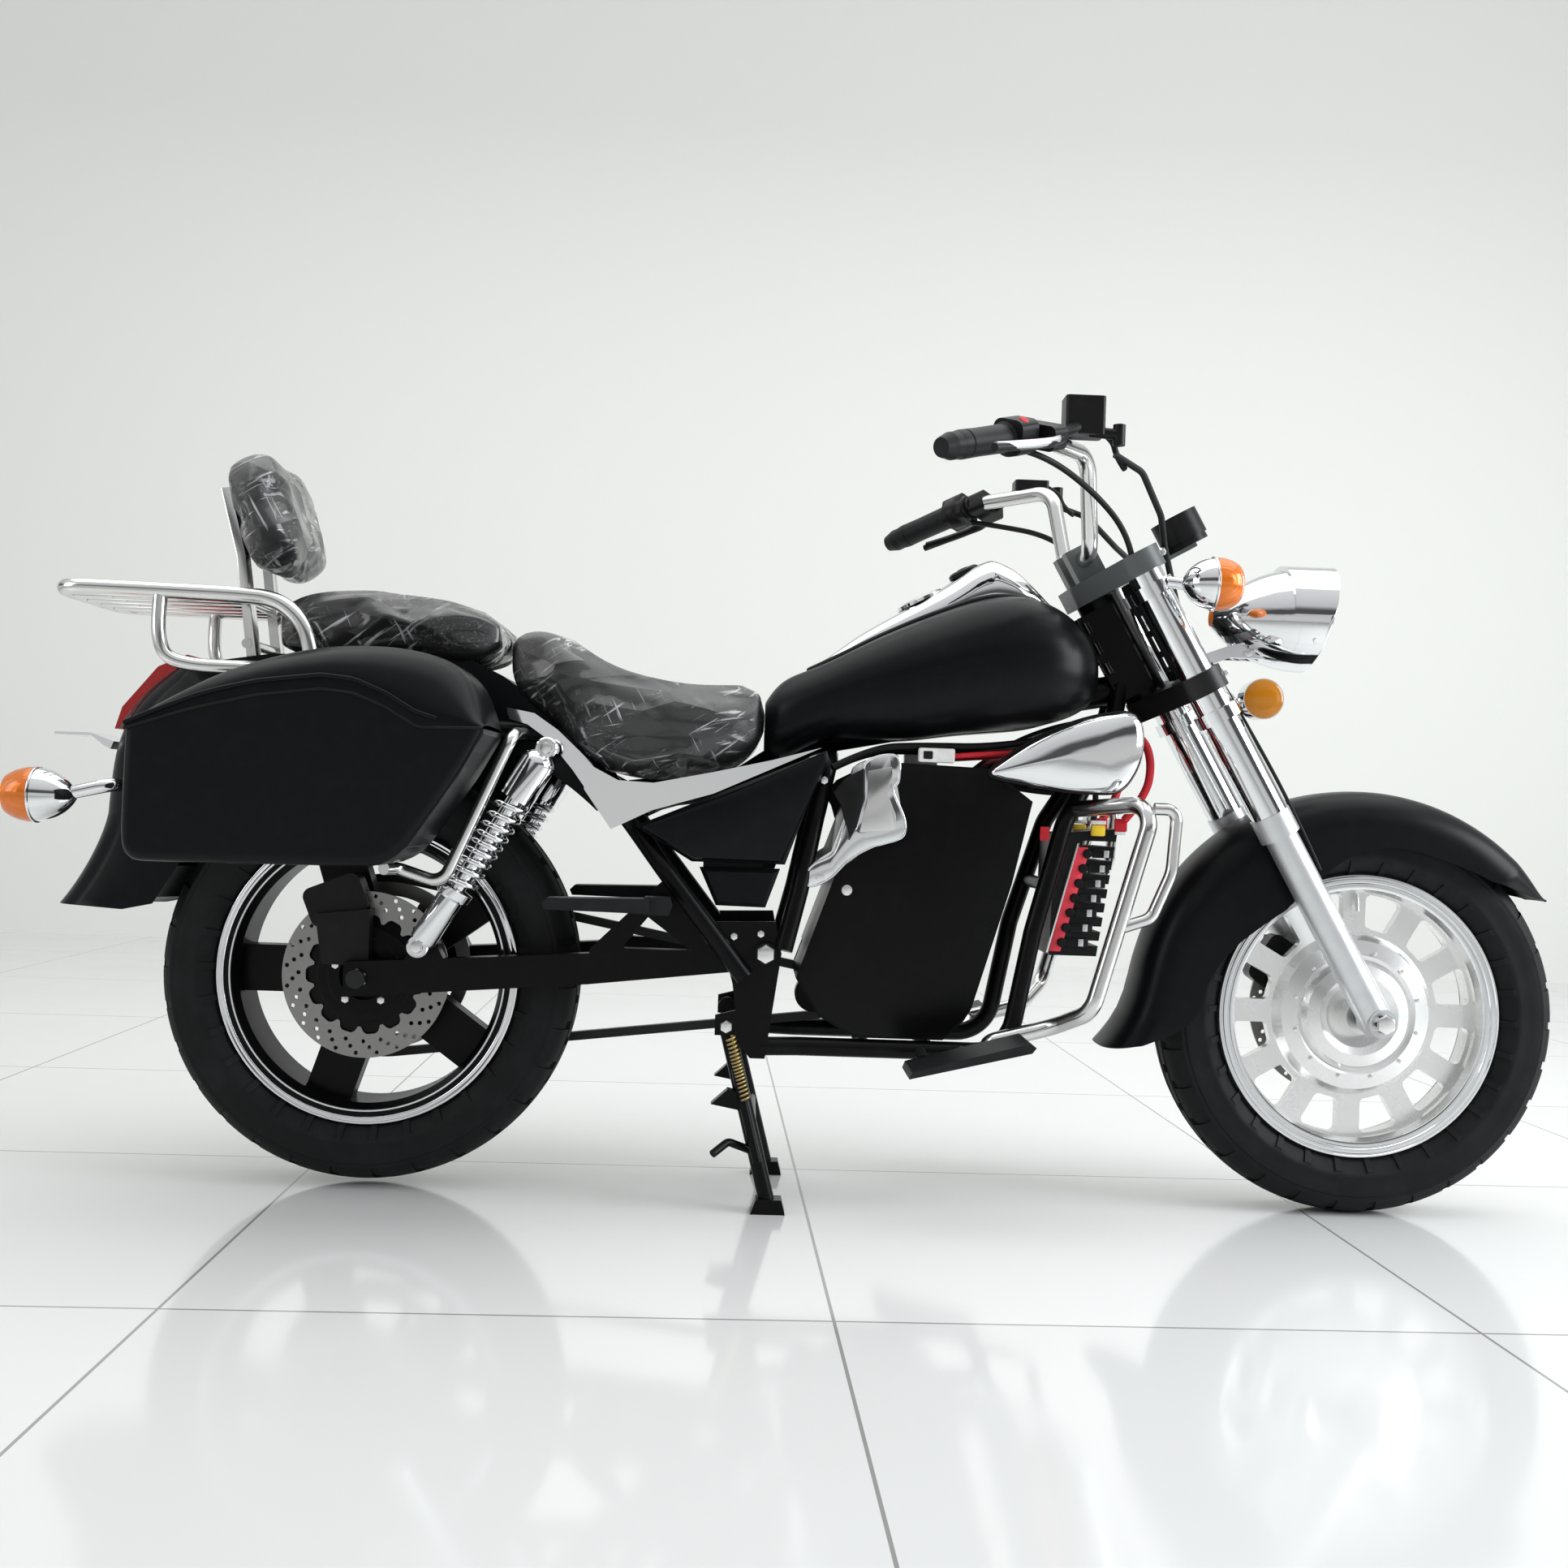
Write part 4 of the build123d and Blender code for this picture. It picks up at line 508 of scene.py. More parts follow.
# %% Bent bar helper
def bent_bar(name, points, radius, body, material, smooth=True, replaces=()):
    """A round bar or cable along smooth points, as a mesh."""
    curve = bpy.data.curves.new(name, "CURVE")
    curve.dimensions = "3D"
    curve.bevel_depth, curve.bevel_resolution = radius * MM, 4
    curve.use_fill_caps = True
    curve.resolution_u = 10
    spline = curve.splines.new("NURBS" if smooth else "POLY")
    spline.points.add(len(points) - 1)
    for target, point in zip(spline.points, points):
        target.co = (*point, 1)
    if smooth:
        spline.order_u = 3
        spline.use_endpoint_u = True
    holder = bpy.data.objects.new(name + "_line", curve)
    mesh = bpy.data.meshes.new_from_object(holder)
    bpy.data.objects.remove(holder)
    bm = bmesh.new()
    bm.from_mesh(mesh)
    return piece(name, bm, body, material, replaces, sharp=50)


tell("bent bar helper:")

# %% [markdown]
# ## Smooth outlines
# Bodywork outlines are given by few points. A Catmull-Rom curve through them gives the
# smooth edge of a pressed or moulded piece, and an even spacing along it keeps the mesh tidy.
# `skin` joins rows of such points, where a pressed sheet has no section that could be spun
# or extruded.

# %% Curves through points
def through(points, per=6, closed=False):
    """A Catmull-Rom curve through 2-D points."""
    count, curve = len(points), []
    for i in range(count if closed else count - 1):
        if closed:
            p0, p1, p2, p3 = (Vector(points[(i + k - 1) % count]) for k in range(4))
        else:
            p0, p1, p2, p3 = (Vector(points[min(max(i + k - 1, 0), count - 1)]) for k in range(4))
        for step in range(per):
            t = step / per
            curve.append(0.5 * (2 * p1 + (p2 - p0) * t + (2 * p0 - 5 * p1 + 4 * p2 - p3) * t * t
                                + (3 * p1 - p0 - 3 * p2 + p3) * t ** 3))
    return curve if closed else curve + [Vector(points[-1])]


def spaced(points, count):
    """The same open line with its points evenly spaced."""
    points = [Vector(p) for p in points]
    travel = [0.0]
    for a, b in zip(points, points[1:]):
        travel.append(travel[-1] + (b - a).length)
    out, k = [], 0
    for i in range(count):
        target = travel[-1] * i / (count - 1)
        while k < len(points) - 2 and travel[k + 1] < target:
            k += 1
        share = (target - travel[k]) / max(travel[k + 1] - travel[k], 1e-9)
        out.append(points[k].lerp(points[k + 1], min(share, 1.0)))
    return out


def skin(bm, rows, closed=False):
    """Quads between rows of points, given as world places."""
    grid = [[bm.verts.new(p) for p in row] for row in rows]
    for low_row, high_row in zip(grid, grid[1:]):
        for i in range(len(low_row) if closed else len(low_row) - 1):
            j = (i + 1) % len(low_row)
            bm.faces.new((low_row[i], low_row[j], high_row[j], high_row[i]))
    return grid


def holed_plate(bm, loops, thickness):
    """A plate in the XZ plane from an outer loop and hole loops in mm."""
    edges = []
    for loop in loops:
        ring = [bm.verts.new((x * MM, 0, z * MM)) for x, z in loop]
        edges += [bm.edges.new((a, b)) for a, b in zip(ring, ring[1:] + ring[:1])]
    filled = bmesh.ops.triangle_fill(bm, use_beauty=True, edges=edges)["geom"]
    faces = [f for f in filled if isinstance(f, bmesh.types.BMFace)]
    grown = bmesh.ops.extrude_face_region(bm, geom=faces)["geom"]
    bmesh.ops.translate(bm, verts=[v for v in grown if isinstance(v, bmesh.types.BMVert)],
                        vec=(0, thickness * MM, 0))


square = [(0, 0), (1, 0), (1, 1), (0, 1)]
print("a curve through a square's corners has", len(through(square, closed=True)), "points")

# %% [markdown]
# ## Tyres
# A road tyre is a ring with a flat-ish crown, shoulder grooves and smooth sidewalls with a
# couple of raised circles. One section is spun round the axle, then the crown's blocks are
# cut by pushing every few faces inward, which leaves grooves with real walls.

# %% Tyres with tread
TREAD_STEPS = 150  # faces round a tyre, cut in groups of five
SIPE = 3.6  # depth of a cross groove
GROOVE = 4.5  # depth of a groove round the crown


def tyre(name, node, centre, outer, width, bead_radius, bead_half, body):
    half = width / 2
    bulge = (bead_radius + outer) / 2
    section = [
        (bead_half - 4, bead_radius - 16), (bead_half, bead_radius - 6),
        (bead_half, bead_radius + 2), (bead_half + 0.35 * (half - bead_half), bead_radius + 9),
        (half - 3.2, bulge - 22), (half - 1.6, bulge - 16), (half - 2.2, bulge - 14),
        (half, bulge), (half - 0.6, bulge + 12), (half - 2.0, bulge + 13),
        (half - 2.4, bulge + 19), (0.46 * width, outer - 0.2 * width),
        (0.41 * width, outer - 0.125 * width), (0.345 * width, outer - 0.07 * width),
        (0.27 * width, outer - 0.038 * width), (0.2 * width, outer - 0.019 * width),
        (0.19 * width, outer - 0.018 * width - GROOVE),
        (0.165 * width, outer - 0.016 * width - GROOVE),
        (0.155 * width, outer - 0.011 * width), (0.06 * width, outer - 0.001 * width),
        (0.035 * width, outer), (0.03 * width, outer - GROOVE), (0.0, outer - GROOVE),
    ]
    full = section + [(-y, r) for y, r in reversed(section[:-1])]
    bm = bmesh.new()
    turned(bm, full, (0, 0, 0), (0, 0, 1), steps=TREAD_STEPS)
    # blocks: every fifth step across the crown's bands is cut, the two shoulders out of step
    crown, step = [], 2 * math.pi / TREAD_STEPS
    for face in bm.faces:
        middle = face.calc_center_median()
        turn = int((math.atan2(middle.y, middle.x) % (2 * math.pi)) / step)
        along = abs(middle.z) / MM
        phase = (turn + (2 if middle.z > 0 else 0)) % 5
        if 0.2 * width < along < 0.44 * width and phase == 0:
            crown.append(face)
        if 0.065 * width < along < 0.155 * width and phase == 2:
            crown.append(face)
    cut = bmesh.ops.extrude_face_region(bm, geom=crown)
    for element in cut["geom"]:
        if isinstance(element, bmesh.types.BMVert):
            flat = Vector((element.co.x, element.co.y, 0))
            element.co -= flat.normalized() * SIPE * MM
    bmesh.ops.delete(bm, geom=[f for f in crown if f.is_valid], context="FACES_ONLY")
    bmesh.ops.transform(bm, matrix=Matrix.Translation(centre) @ facing((0, 1, 0)), verts=bm.verts)
    return piece(name, bm, body, tyre_rubber, [node], sharp=40)


front_tyre = tyre("front_tyre_tread", "front_tyre", at(WHEELBASE, 0, FRONT_AXLE_Z), 311.0, 120.0,
                  221.0, 36.0, "front_wheel")
rear_tyre = tyre("rear_tyre_tread", "rear_tyre", at(0, 0, REAR_AXLE_Z), 321.0, 150.0, 230.0, 50.0,
                 "rear_wheel")
print("tyre faces", len(front_tyre.data.polygons), len(rear_tyre.data.polygons))
tell("tyres:")

# %% [markdown]
# ## Seats and backrest
# A saddle is foam under a stretched cover. The construction solid gives its outline, so a
# copy of it is shrunk a little, remeshed and blown up with cloth pressure, which crowns the
# top and rounds the edges as foam does. No point may move further than a cap, so the cover
# stays close to the solid and clear of its neighbours.

# %% Padded seats
VOXEL = 0.006  # metres between the remeshed cover's points
CLOTH_STEPS = 15


def padded_seat(name, node, shrink, puff, cap):
    low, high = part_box(node)
    middle = (low + high) / 2
    bm = bmesh.new()
    bm.from_mesh(nodes[node].data)
    bmesh.ops.remove_doubles(bm, verts=bm.verts, dist=1e-5)
    size = high - low
    for v in bm.verts:
        v.co = middle + Vector([(v.co[i] - middle[i]) * (1 - 2 * shrink * MM / size[i])
                                for i in range(3)])
    made = piece(name, bm, "chassis", seat_leather, [node], sharp=180)
    remesh = made.modifiers.new("remesh", "REMESH")
    remesh.mode, remesh.voxel_size = "VOXEL", VOXEL
    remesh.use_smooth_shade = True
    relax = made.modifiers.new("relax", "SMOOTH")
    relax.factor, relax.iterations = 0.5, 6
    fixed_mesh(made)
    start = [v.co.copy() for v in made.data.vertices]
    cloth = made.modifiers.new("cloth", "CLOTH")
    cloth.settings.use_pressure = True
    cloth.settings.uniform_pressure_force = puff
    cloth.settings.effector_weights.gravity = 0
    cloth.settings.quality = 5
    cloth.settings.tension_stiffness = cloth.settings.compression_stiffness = 12
    cloth.collision_settings.use_collision = False
    for step in range(1, CLOTH_STEPS + 1):
        scene.frame_set(step)
    fixed_mesh(made)
    scene.frame_set(1)
    for v, was in zip(made.data.vertices, start):
        moved = v.co - was
        if moved.length > cap * MM:
            v.co = was + moved.normalized() * cap * MM
    for face in made.data.polygons:
        face.use_smooth = True
    return made


def fixed_mesh(made):
    """Applies the piece's modifiers and keeps the result as its mesh."""
    graph = bpy.context.evaluated_depsgraph_get()
    graph.update()
    result = bpy.data.meshes.new_from_object(made.evaluated_get(graph))
    made.modifiers.clear()
    old, made.data = made.data, result
    bpy.data.meshes.remove(old)


rider_seat = padded_seat("rider_seat", "seat_front", 5.0, 3.0, 9.0)
pillion_seat = padded_seat("pillion_seat", "seat_rear", 5.0, 3.0, 9.0)
back_pad = padded_seat("back_pad", "backrest", 6.0, 4.0, 9.0)
print("seat faces", [len(s.data.polygons) for s in (rider_seat, pillion_seat, back_pad)])
tell("seats:")

# %% [markdown]
# ## Shock absorbers
# Each shock has a thick body below, a chromed can above and an open coil between them. The
# coil is a wire bent round the shock's axis, so it is drawn as a line and given a thickness.
# The body, the cups that hold the coil and the can are turned in one piece.

# %% Shocks with real coils
SHOCK_TOP, SHOCK_BOTTOM, SHOCK_Y = (276, 680), (99, 383), 165
POINTS_A_TURN = 14  # of a coil's line


def coil(name, start, end, radius, wire, turns, body, material):
    """A spring of round wire between two points, a little closer wound in its middle."""
    along = Vector(end) - Vector(start)
    lay = facing(along)
    count = turns * POINTS_A_TURN
    points = []
    for i in range(count + 1):
        share = i / count
        angle = 2 * math.pi * turns * share
        rise = share + 0.022 * math.sin(2 * math.pi * share)
        local = Vector((radius * MM * math.cos(angle), radius * MM * math.sin(angle),
                        rise * along.length))
        points.append(Vector(start) + lay @ local)
    return bent_bar(name, points, wire, body, material)


for side, word in SIDES:
    low_eye = at(SHOCK_BOTTOM[0], side * SHOCK_Y, SHOCK_BOTTOM[1])
    high_eye = at(SHOCK_TOP[0], side * SHOCK_Y, SHOCK_TOP[1])
    axis = (high_eye - low_eye).normalized()
    reach = (high_eye - low_eye).length / MM
    bm = bmesh.new()
    turned(bm, [(6, 0), (6, 17), (12, 20), (84, 20), (88, 26.5), (96, 27.5), (101, 27.5),
                (102, 21), (103, 13), (reach - 90, 13), (reach - 89, 22), (reach - 88, 27),
                (reach - 26, 27), (reach - 18, 24), (reach - 10, 15), (reach - 8, 0)],
           low_eye, axis)
    for eye in (low_eye, high_eye):
        turned(bm, [(-14, 8.6), (-14, 14), (-12, 16), (12, 16), (14, 14), (14, 8.6)], eye,
               (0, 1, 0))
    piece(f"shock_{word}", bm, "chassis", chrome, ["shocks"])
    coil(f"shock_coil_{word}", low_eye + axis * 104 * MM, low_eye + axis * (reach - 92) * MM,
         23.2, 4.3, 9, "chassis", chrome)
    bm = bmesh.new()
    for place in (SHOCK_BOTTOM, SHOCK_TOP):
        foot = at(place[0], side * (SHOCK_Y + 14.3), place[1])
        turned(bm, [(0, 9), (0, 13), (2.2, 13), (2.4, 9)], foot, (0, side, 0), steps=32)
        bolt(bm, foot + Vector((0, side * 2.2 * MM, 0)), (0, side, 0), 9.5, 7)
    piece(f"shock_nuts_{word}", bm, "chassis", bright_alloy)
tell("shocks:")

# %% [markdown]
# ## Headlamp
# The lamp is a chromed bowl with a mirror-bright reflector, a small bulb and a fluted lens
# held by a rolled rim. The reflector and the rim are turned profiles, the reflector open at
# the front so that light can get in.

# %% Headlamp
LAMP = (1468, 931)
TILT = math.radians(13.5)
lamp_face = Vector((math.cos(TILT), 0, -math.sin(TILT)))
face_centre = at(LAMP[0], 0, LAMP[1])
bm = bmesh.new()
turned(bm, [(-9, 75), (-14, 70), (-26, 52), (-34, 30), (-37, 14), (-36, 0)],
       face_centre, lamp_face, steps=64, closed=False)
piece("reflector_bowl", bm, "steering", reflector, sharp=60)
bm = bmesh.new()
turned(bm, [(-37, 12), (-22, 11), (-20, 8), (-16, 8), (-11, 5), (-9, 0)], face_centre, lamp_face,
       steps=32, closed=False)
piece("headlamp_bulb", bm, "steering", clear_lens, sharp=60)
bm = bmesh.new()
turned(bm, [(-7, 76.5), (-4, 81.5), (-1, 83.2), (1.5, 82.6), (2.6, 80.4), (2, 78), (0, 76.5)],
       face_centre, lamp_face, steps=96)
piece("headlamp_rim", bm, "steering", chrome, sharp=60)
bm = bmesh.new()
for turn in (-152, -28):
    spoke = Vector((0, math.cos(math.radians(turn)), math.sin(math.radians(turn))))
    bolt(bm, at(1443, 0, LAMP[1]) + spoke * 81.5 * MM, spoke, 4.2, 3, 12)
for side, _ in SIDES:
    bolt(bm, at(1352, side * 28, 874), (0, side, 0), 7, 5)
piece("headlamp_screws", bm, "steering", bright_alloy)
tell("headlamp:")

# %% [markdown]
# ## Turn signals and side lamps
# Bullet signals end in a domed amber lens inside a chromed ring. The lens is a shallow dome
# and the ring a small turned hoop over the joint.

# %% Lamp lenses
def lamp_lens(name, centre, direction, profile, body, glass):
    """A lens that reaches back over its housing, with a bright hoop at its edge."""
    bm = bmesh.new()
    turned(bm, profile, centre, direction, steps=56, closed=False)
    piece(name, bm, body, glass, sharp=70)
    back, radius = profile[0]
    bm = bmesh.new()
    turned(bm, [(back - 3.6, radius - 1.0), (back - 3, radius + 0.9), (back - 0.8, radius + 1.4),
                (back, radius + 0.7), (back, radius - 1.0)], centre, direction, steps=56)
    piece(name + "_hoop", bm, body, chrome, sharp=60)


FRONT_LENS = [(-37, 39.2), (-30, 39.4), (-22, 38.6), (-14, 36.4), (-8, 33.8), (-3, 30.8),
              (1, 27), (4.5, 20), (6.6, 11), (7.4, 0)]
REAR_LENS = [(-42, 39.8), (-30, 39.3), (-20, 37.2), (-13, 34.9), (-7, 32.0), (-2.5, 29.4),
             (0.5, 26), (3, 18), (4.4, 9), (4.8, 0)]
SIDE_LENS = [(-2, 29.4), (0, 29.6), (2.2, 25), (4.6, 15), (5.6, 0)]
for side, word in SIDES:
    lamp_lens(f"front_signal_lens_{word}", at(1289.5, side * 172, 959), (1, 0, 0), FRONT_LENS,
              "steering", amber_lens)
    lamp_lens(f"rear_signal_lens_{word}", at(-490.3, side * 200, 586), (-1, 0, 0), REAR_LENS,
              "chassis", amber_lens)
    lamp_lens(f"side_lamp_lens_{word}", at(1348, side * 126.3, 795), (0, side, 0), SIDE_LENS,
              "steering", side_amber)
tell("signals:")

# %% [markdown]
# ## Brake discs
# A brake disc is a thin plate with drilled rings and a toothed inner edge, held by a black
# carrier behind the teeth. The plate is filled between its loops and then extruded, so every
# hole is a real one. The carrier is turned.

# %% Brake discs
HOLE_RADIUS, HOLE_SIDES, HOLES_A_RING = 3.4, 8, 24
TOOTH_LIFT = (0, 0, 8, 11, 11, 11, 11, 8)  # how far the inner edge steps out along one tooth


def circle(radius, count, x=0.0, z=0.0):
    return [(x + radius * math.cos(2 * math.pi * i / count),
             z + radius * math.sin(2 * math.pi * i / count)) for i in range(count)]


def drilled_disc(name, node, centre, y, outer, inner, teeth, thickness, body):
    """A brake disc with three rings of holes and a toothed inner edge round a black carrier."""
    inside, steps = [], len(TOOTH_LIFT)
    for i in range(teeth * steps):
        reach = inner + TOOTH_LIFT[i % steps]
        angle = 2 * math.pi * i / (teeth * steps)
        inside.append((reach * math.cos(angle), reach * math.sin(angle)))
    loops = [circle(outer, 120), inside]
    for ring, share in enumerate((0.34, 0.58, 0.82)):
        reach = inner + 9 + (outer - inner - 9) * share
        for i in range(HOLES_A_RING):
            angle = 2 * math.pi * (i + ring / 3) / HOLES_A_RING
            loops.append(circle(HOLE_RADIUS, HOLE_SIDES, reach * math.cos(angle),
                                reach * math.sin(angle)))
    bm = bmesh.new()
    holed_plate(bm, loops, thickness)
    bmesh.ops.translate(bm, verts=bm.verts, vec=at(centre[0], y, centre[1]))
    piece(name, bm, body, disc_steel, [node])
    bm = bmesh.new()
    outward = (0, -1 if y < 0 else 1, 0)
    face = at(centre[0], y + (0 if y < 0 else thickness), centre[1])
    turned(bm, [(0, 38), (0, inner - 6), (3, inner - 6), (5, inner - 9), (6, inner - 22),
                (9, inner - 26), (9, 38)], face, outward, steps=72)
    turned(bm, [(-thickness - 3.4, inner - 9), (-thickness - 3.4, inner + 14),
                (-thickness - 0.4, inner + 14), (0, inner - 9)], face, outward, steps=72)
    piece(name + "_carrier", bm, body, wheel_paint, [node], sharp=25)


drilled_disc("rear_brake_disc", "rear_disc", (0, REAR_AXLE_Z), -66.9, 127.0, 80.0, 15, 4.6,
             "rear_wheel")
drilled_disc("front_brake_disc", "front_disc", (WHEELBASE, FRONT_AXLE_Z), 60.3, 140.0, 94.0, 15,
             4.6, "front_wheel")
tell("brake discs:")

# %% [markdown]
# ## Wheels: nuts, bolts and bright rings
# A wheel reads as real through its small hardware: the axle nuts, the disc's bolts, the ring
# of sprocket bolts and a valve stem. Each screw head is a small bevelled cone, and one mesh
# holds a whole ring of them. The polished steps of each rim are turned rings laid on it.

# %% Wheel hardware
def bolt_ring(bm, centre, direction, ring, count, radius, height, start=0.0):
    turn = facing(direction)
    for i in range(count):
        angle = math.radians(start) + 2 * math.pi * i / count
        place = Vector(centre) + turn @ Vector((ring * MM * math.cos(angle),
                                                ring * MM * math.sin(angle), 0))
        bolt(bm, place, direction, radius, height)


def both_sides(bm, profile, x, y, z, steps):
    """The same turned ring on the right and left of a wheel, facing outward."""
    for side, _ in SIDES:
        turned(bm, profile, at(x, side * y, z), (0, side, 0), steps=steps)


bm = bmesh.new()
bolt_ring(bm, at(WHEELBASE, 69.0, FRONT_AXLE_Z), (0, 1, 0), 50, 6, 5.5, 4)
bolt_ring(bm, at(WHEELBASE, -31.0, FRONT_AXLE_Z), (0, -1, 0), 100, 12, 3.4, 2.6, 15)
turned(bm, [(0, 4.5), (26, 4.0), (28, 3.0), (36, 3.0), (37, 0)],
       at(WHEELBASE, -12, FRONT_AXLE_Z + 196), (0, -0.35, -1), steps=16, closed=False)
piece("front_wheel_screws", bm, "front_wheel", bright_alloy)
bm = bmesh.new()
bolt_ring(bm, at(0, -75.8, REAR_AXLE_Z), (0, -1, 0), 46, 5, 6.5, 4, 18)
bolt_ring(bm, at(0, 88.7, REAR_AXLE_Z), (0, 1, 0), 52, 6, 6, 5)
piece("rear_wheel_screws", bm, "rear_wheel", bright_alloy)
RIM_STEPS = 128
bm = bmesh.new()
both_sides(bm, [(0, 219), (0.8, 219.6), (1.3, 222), (0.5, 223.4), (0.5, 224.4), (1.5, 225.6),
                (1.7, 228.6), (0.8, 230.2), (0, 230)], 0, 56.2, REAR_AXLE_Z, RIM_STEPS)
both_sides(bm, [(0, 208), (0.9, 208.6), (0.9, 211), (0, 211.6)], 0, 56.1, REAR_AXLE_Z, RIM_STEPS)
piece("rear_rim_polished_edges", bm, "rear_wheel", chrome, sharp=50)
bm = bmesh.new()
both_sides(bm, [(-0.6, 197), (0.8, 197.6), (1.5, 199.5), (1.5, 204), (0.2, 205.2), (0.2, 206.6),
                (1.7, 208), (2.2, 211), (1.9, 214), (0.4, 215.4), (0.4, 216.6), (1.8, 218),
                (1.6, 220.4), (0.2, 221.6), (-0.6, 221)],
           WHEELBASE, 42.2, FRONT_AXLE_Z, RIM_STEPS)
piece("front_rim_polished_edges", bm, "front_wheel", chrome, sharp=25)
for name, body, x, z, end in (("front_axle_nuts", "steering", WHEELBASE, FRONT_AXLE_Z, 137.9),
                              ("rear_axle_nuts", "chassis", 0, REAR_AXLE_Z, 115.9)):
    bm = bmesh.new()
    for side, _ in SIDES:
        bolt(bm, at(x, side * end, z), (0, side, 0), 16, 13)
    piece(name, bm, body, bright_alloy)
tell("wheel hardware:")

# %% [markdown]
# ## Front fender
# A pressed steel fender has no sharp edge: its sides roll into its crown. This one is drawn
# as sections round the wheel. Each has an inner radius, where the edge is cut, and an outer
# radius, which grows behind the wheel into a flared tail.

# %% Front fender skin
FENDER_TIP, FENDER_TAIL, FENDER_STEPS = 32.6, 188.6, 104  # degrees round the axle, and rows
FENDER_HALF, FENDER_BULGE, FENDER_SHEET = 79.0, 0.8, 2.4
# (degrees, radius in mm) along the cut edge and along the crown
FENDER_CUT = [(32.6, 350), (36, 330), (42, 308), (49.4, 287), (58, 278), (66.6, 271), (81, 268),
              (90.4, 263), (99, 249), (108.7, 231), (119, 218), (129.2, 210), (137, 214),
              (144.4, 221), (154, 234), (162.5, 246), (172, 256), (178, 262), (182, 270),
              (185.2, 288), (187.2, 318), (188.6, 352)]
FENDER_CROWN = [(30, 351.5), (165, 351.5), (172, 353), (177, 357), (181, 366), (184, 378),
                (186.5, 392), (188.6, 408)]


def along_table(table, angle):
    for (a0, r0), (a1, r1) in zip(table, table[1:]):
        if angle <= a1:
            return r0 + (r1 - r0) * max(angle - a0, 0) / (a1 - a0)
    return table[-1][1]


rows = []
for i in range(FENDER_STEPS + 1):
    angle = FENDER_TIP + (FENDER_TAIL - FENDER_TIP) * i / FENDER_STEPS
    inner, outer = along_table(FENDER_CUT, angle), along_table(FENDER_CROWN, angle)
    roll = min(58.0, 0.96 * (outer - inner))
    narrow = min(1.0, 0.45 + (angle - FENDER_TIP) / 24)
    half = []
    for share in (0.0, 0.5, 1.0):
        half.append((FENDER_HALF + FENDER_BULGE * share, inner + (outer - roll - inner) * share))
    for k in range(1, 13):
        turn = math.radians(7.5 * k)
        half.append(((FENDER_HALF + FENDER_BULGE) * math.cos(turn) ** 0.7,
                     outer - roll + roll * math.sin(turn) ** 0.9))
    half[-1] = (0.0, outer)
    section = [(-y, r) for y, r in half] + [(y, r) for y, r in reversed(half[:-1])]
    rows.append([at(WHEELBASE + r * math.cos(math.radians(angle)), narrow * y,
                    FRONT_AXLE_Z + r * math.sin(math.radians(angle))) for y, r in section])
bm = bmesh.new()
skin(bm, rows)
bmesh.ops.recalc_face_normals(bm, faces=bm.faces)
bmesh.ops.solidify(bm, geom=list(bm.faces), thickness=FENDER_SHEET * MM)
for side, _ in SIDES:
    turned(bm, [(0, 0), (0, 12), (9, 12), (9, 0)], on_fork(240, 0, side * 77), (0, side, 0),
           steps=28, closed=False)
piece("front_fender_skin", bm, "steering", body_paint,
      ["front_fender"], sharp=60)
tell("front fender:")

# %% [markdown]
# ## Rear fender
# The rear fender keeps its construction mesh, cut into strips along its length. Each point
# behind the axle is then moved forward: more towards the sides, which rounds the corners in
# plan, and more at mid height, which gives the rear face its slight waist.

# %% Rear fender rounded in plan
CORNER_ROUND, WAIST_DEPTH, WAIST_HEIGHT, WAIST_SPAN = 50, 16, 590, 95
bm = bmesh.new()
bm.from_mesh(nodes["rear_fender"].data)
bmesh.ops.remove_doubles(bm, verts=bm.verts, dist=1e-5)
for strip in (0, -34, 34, -54, 54, -66, 66, -76, 76, -83, 83, -88, 88):
    bmesh.ops.bisect_plane(bm, geom=list(bm.verts) + list(bm.edges) + list(bm.faces),
                           plane_co=(0, strip * MM, 0), plane_no=(0, 1, 0))
for v in bm.verts:
    station, height = v.co.x / MM + ORIGIN_STATION, v.co.z / MM
    back = min(max((-240 - station) / 90, 0.0), 1.0)
    round_off = CORNER_ROUND * min(abs(v.co.y) / 93.5 / MM, 1.0) ** 4
    waist = WAIST_DEPTH * math.exp(-((height - WAIST_HEIGHT) / WAIST_SPAN) ** 2)
    v.co.x += back * (round_off + waist) * MM
piece("rear_fender_skin", bm, "chassis", body_paint, ["rear_fender"], sharp=45)
tell("rear fender:")

# %% [markdown]
# ## Saddlebag lids
# Each lid is a moulded shell: a low band along the joint, then a dome that rolls into the
# flat top, with a wall of real thickness. The crest and the joint are two lines along the
# machine, so one section between them is drawn at each station and the rows are skinned.

# %% Lid shell
# (station, height) along the lid's crest and along the joint with the bag
LID_TOP = [(-263, 692), (-224, 723), (-153, 763), (-91, 786), (-27, 802), (37, 808), (101, 805),
           (158, 789), (192, 758), (213, 706)]
BAG_SEAM = [(-263, 680), (-173, 710), (-88, 731), (-4, 742), (40, 738), (83, 721), (127, 695),
            (213, 697)]
BAG_INNER, BAG_FACE = 197.2, 370.5  # from the middle plane to a bag's inner and outer faces
LID_ROLL, JOINT_GAP = 70, 0.6
LID_MIDDLE, LID_HOLLOW, LID_WALL = 284, 0.955, 4
top_line = spaced(through(LID_TOP, 8), 49)
seam_line = spaced(BAG_SEAM, 49)


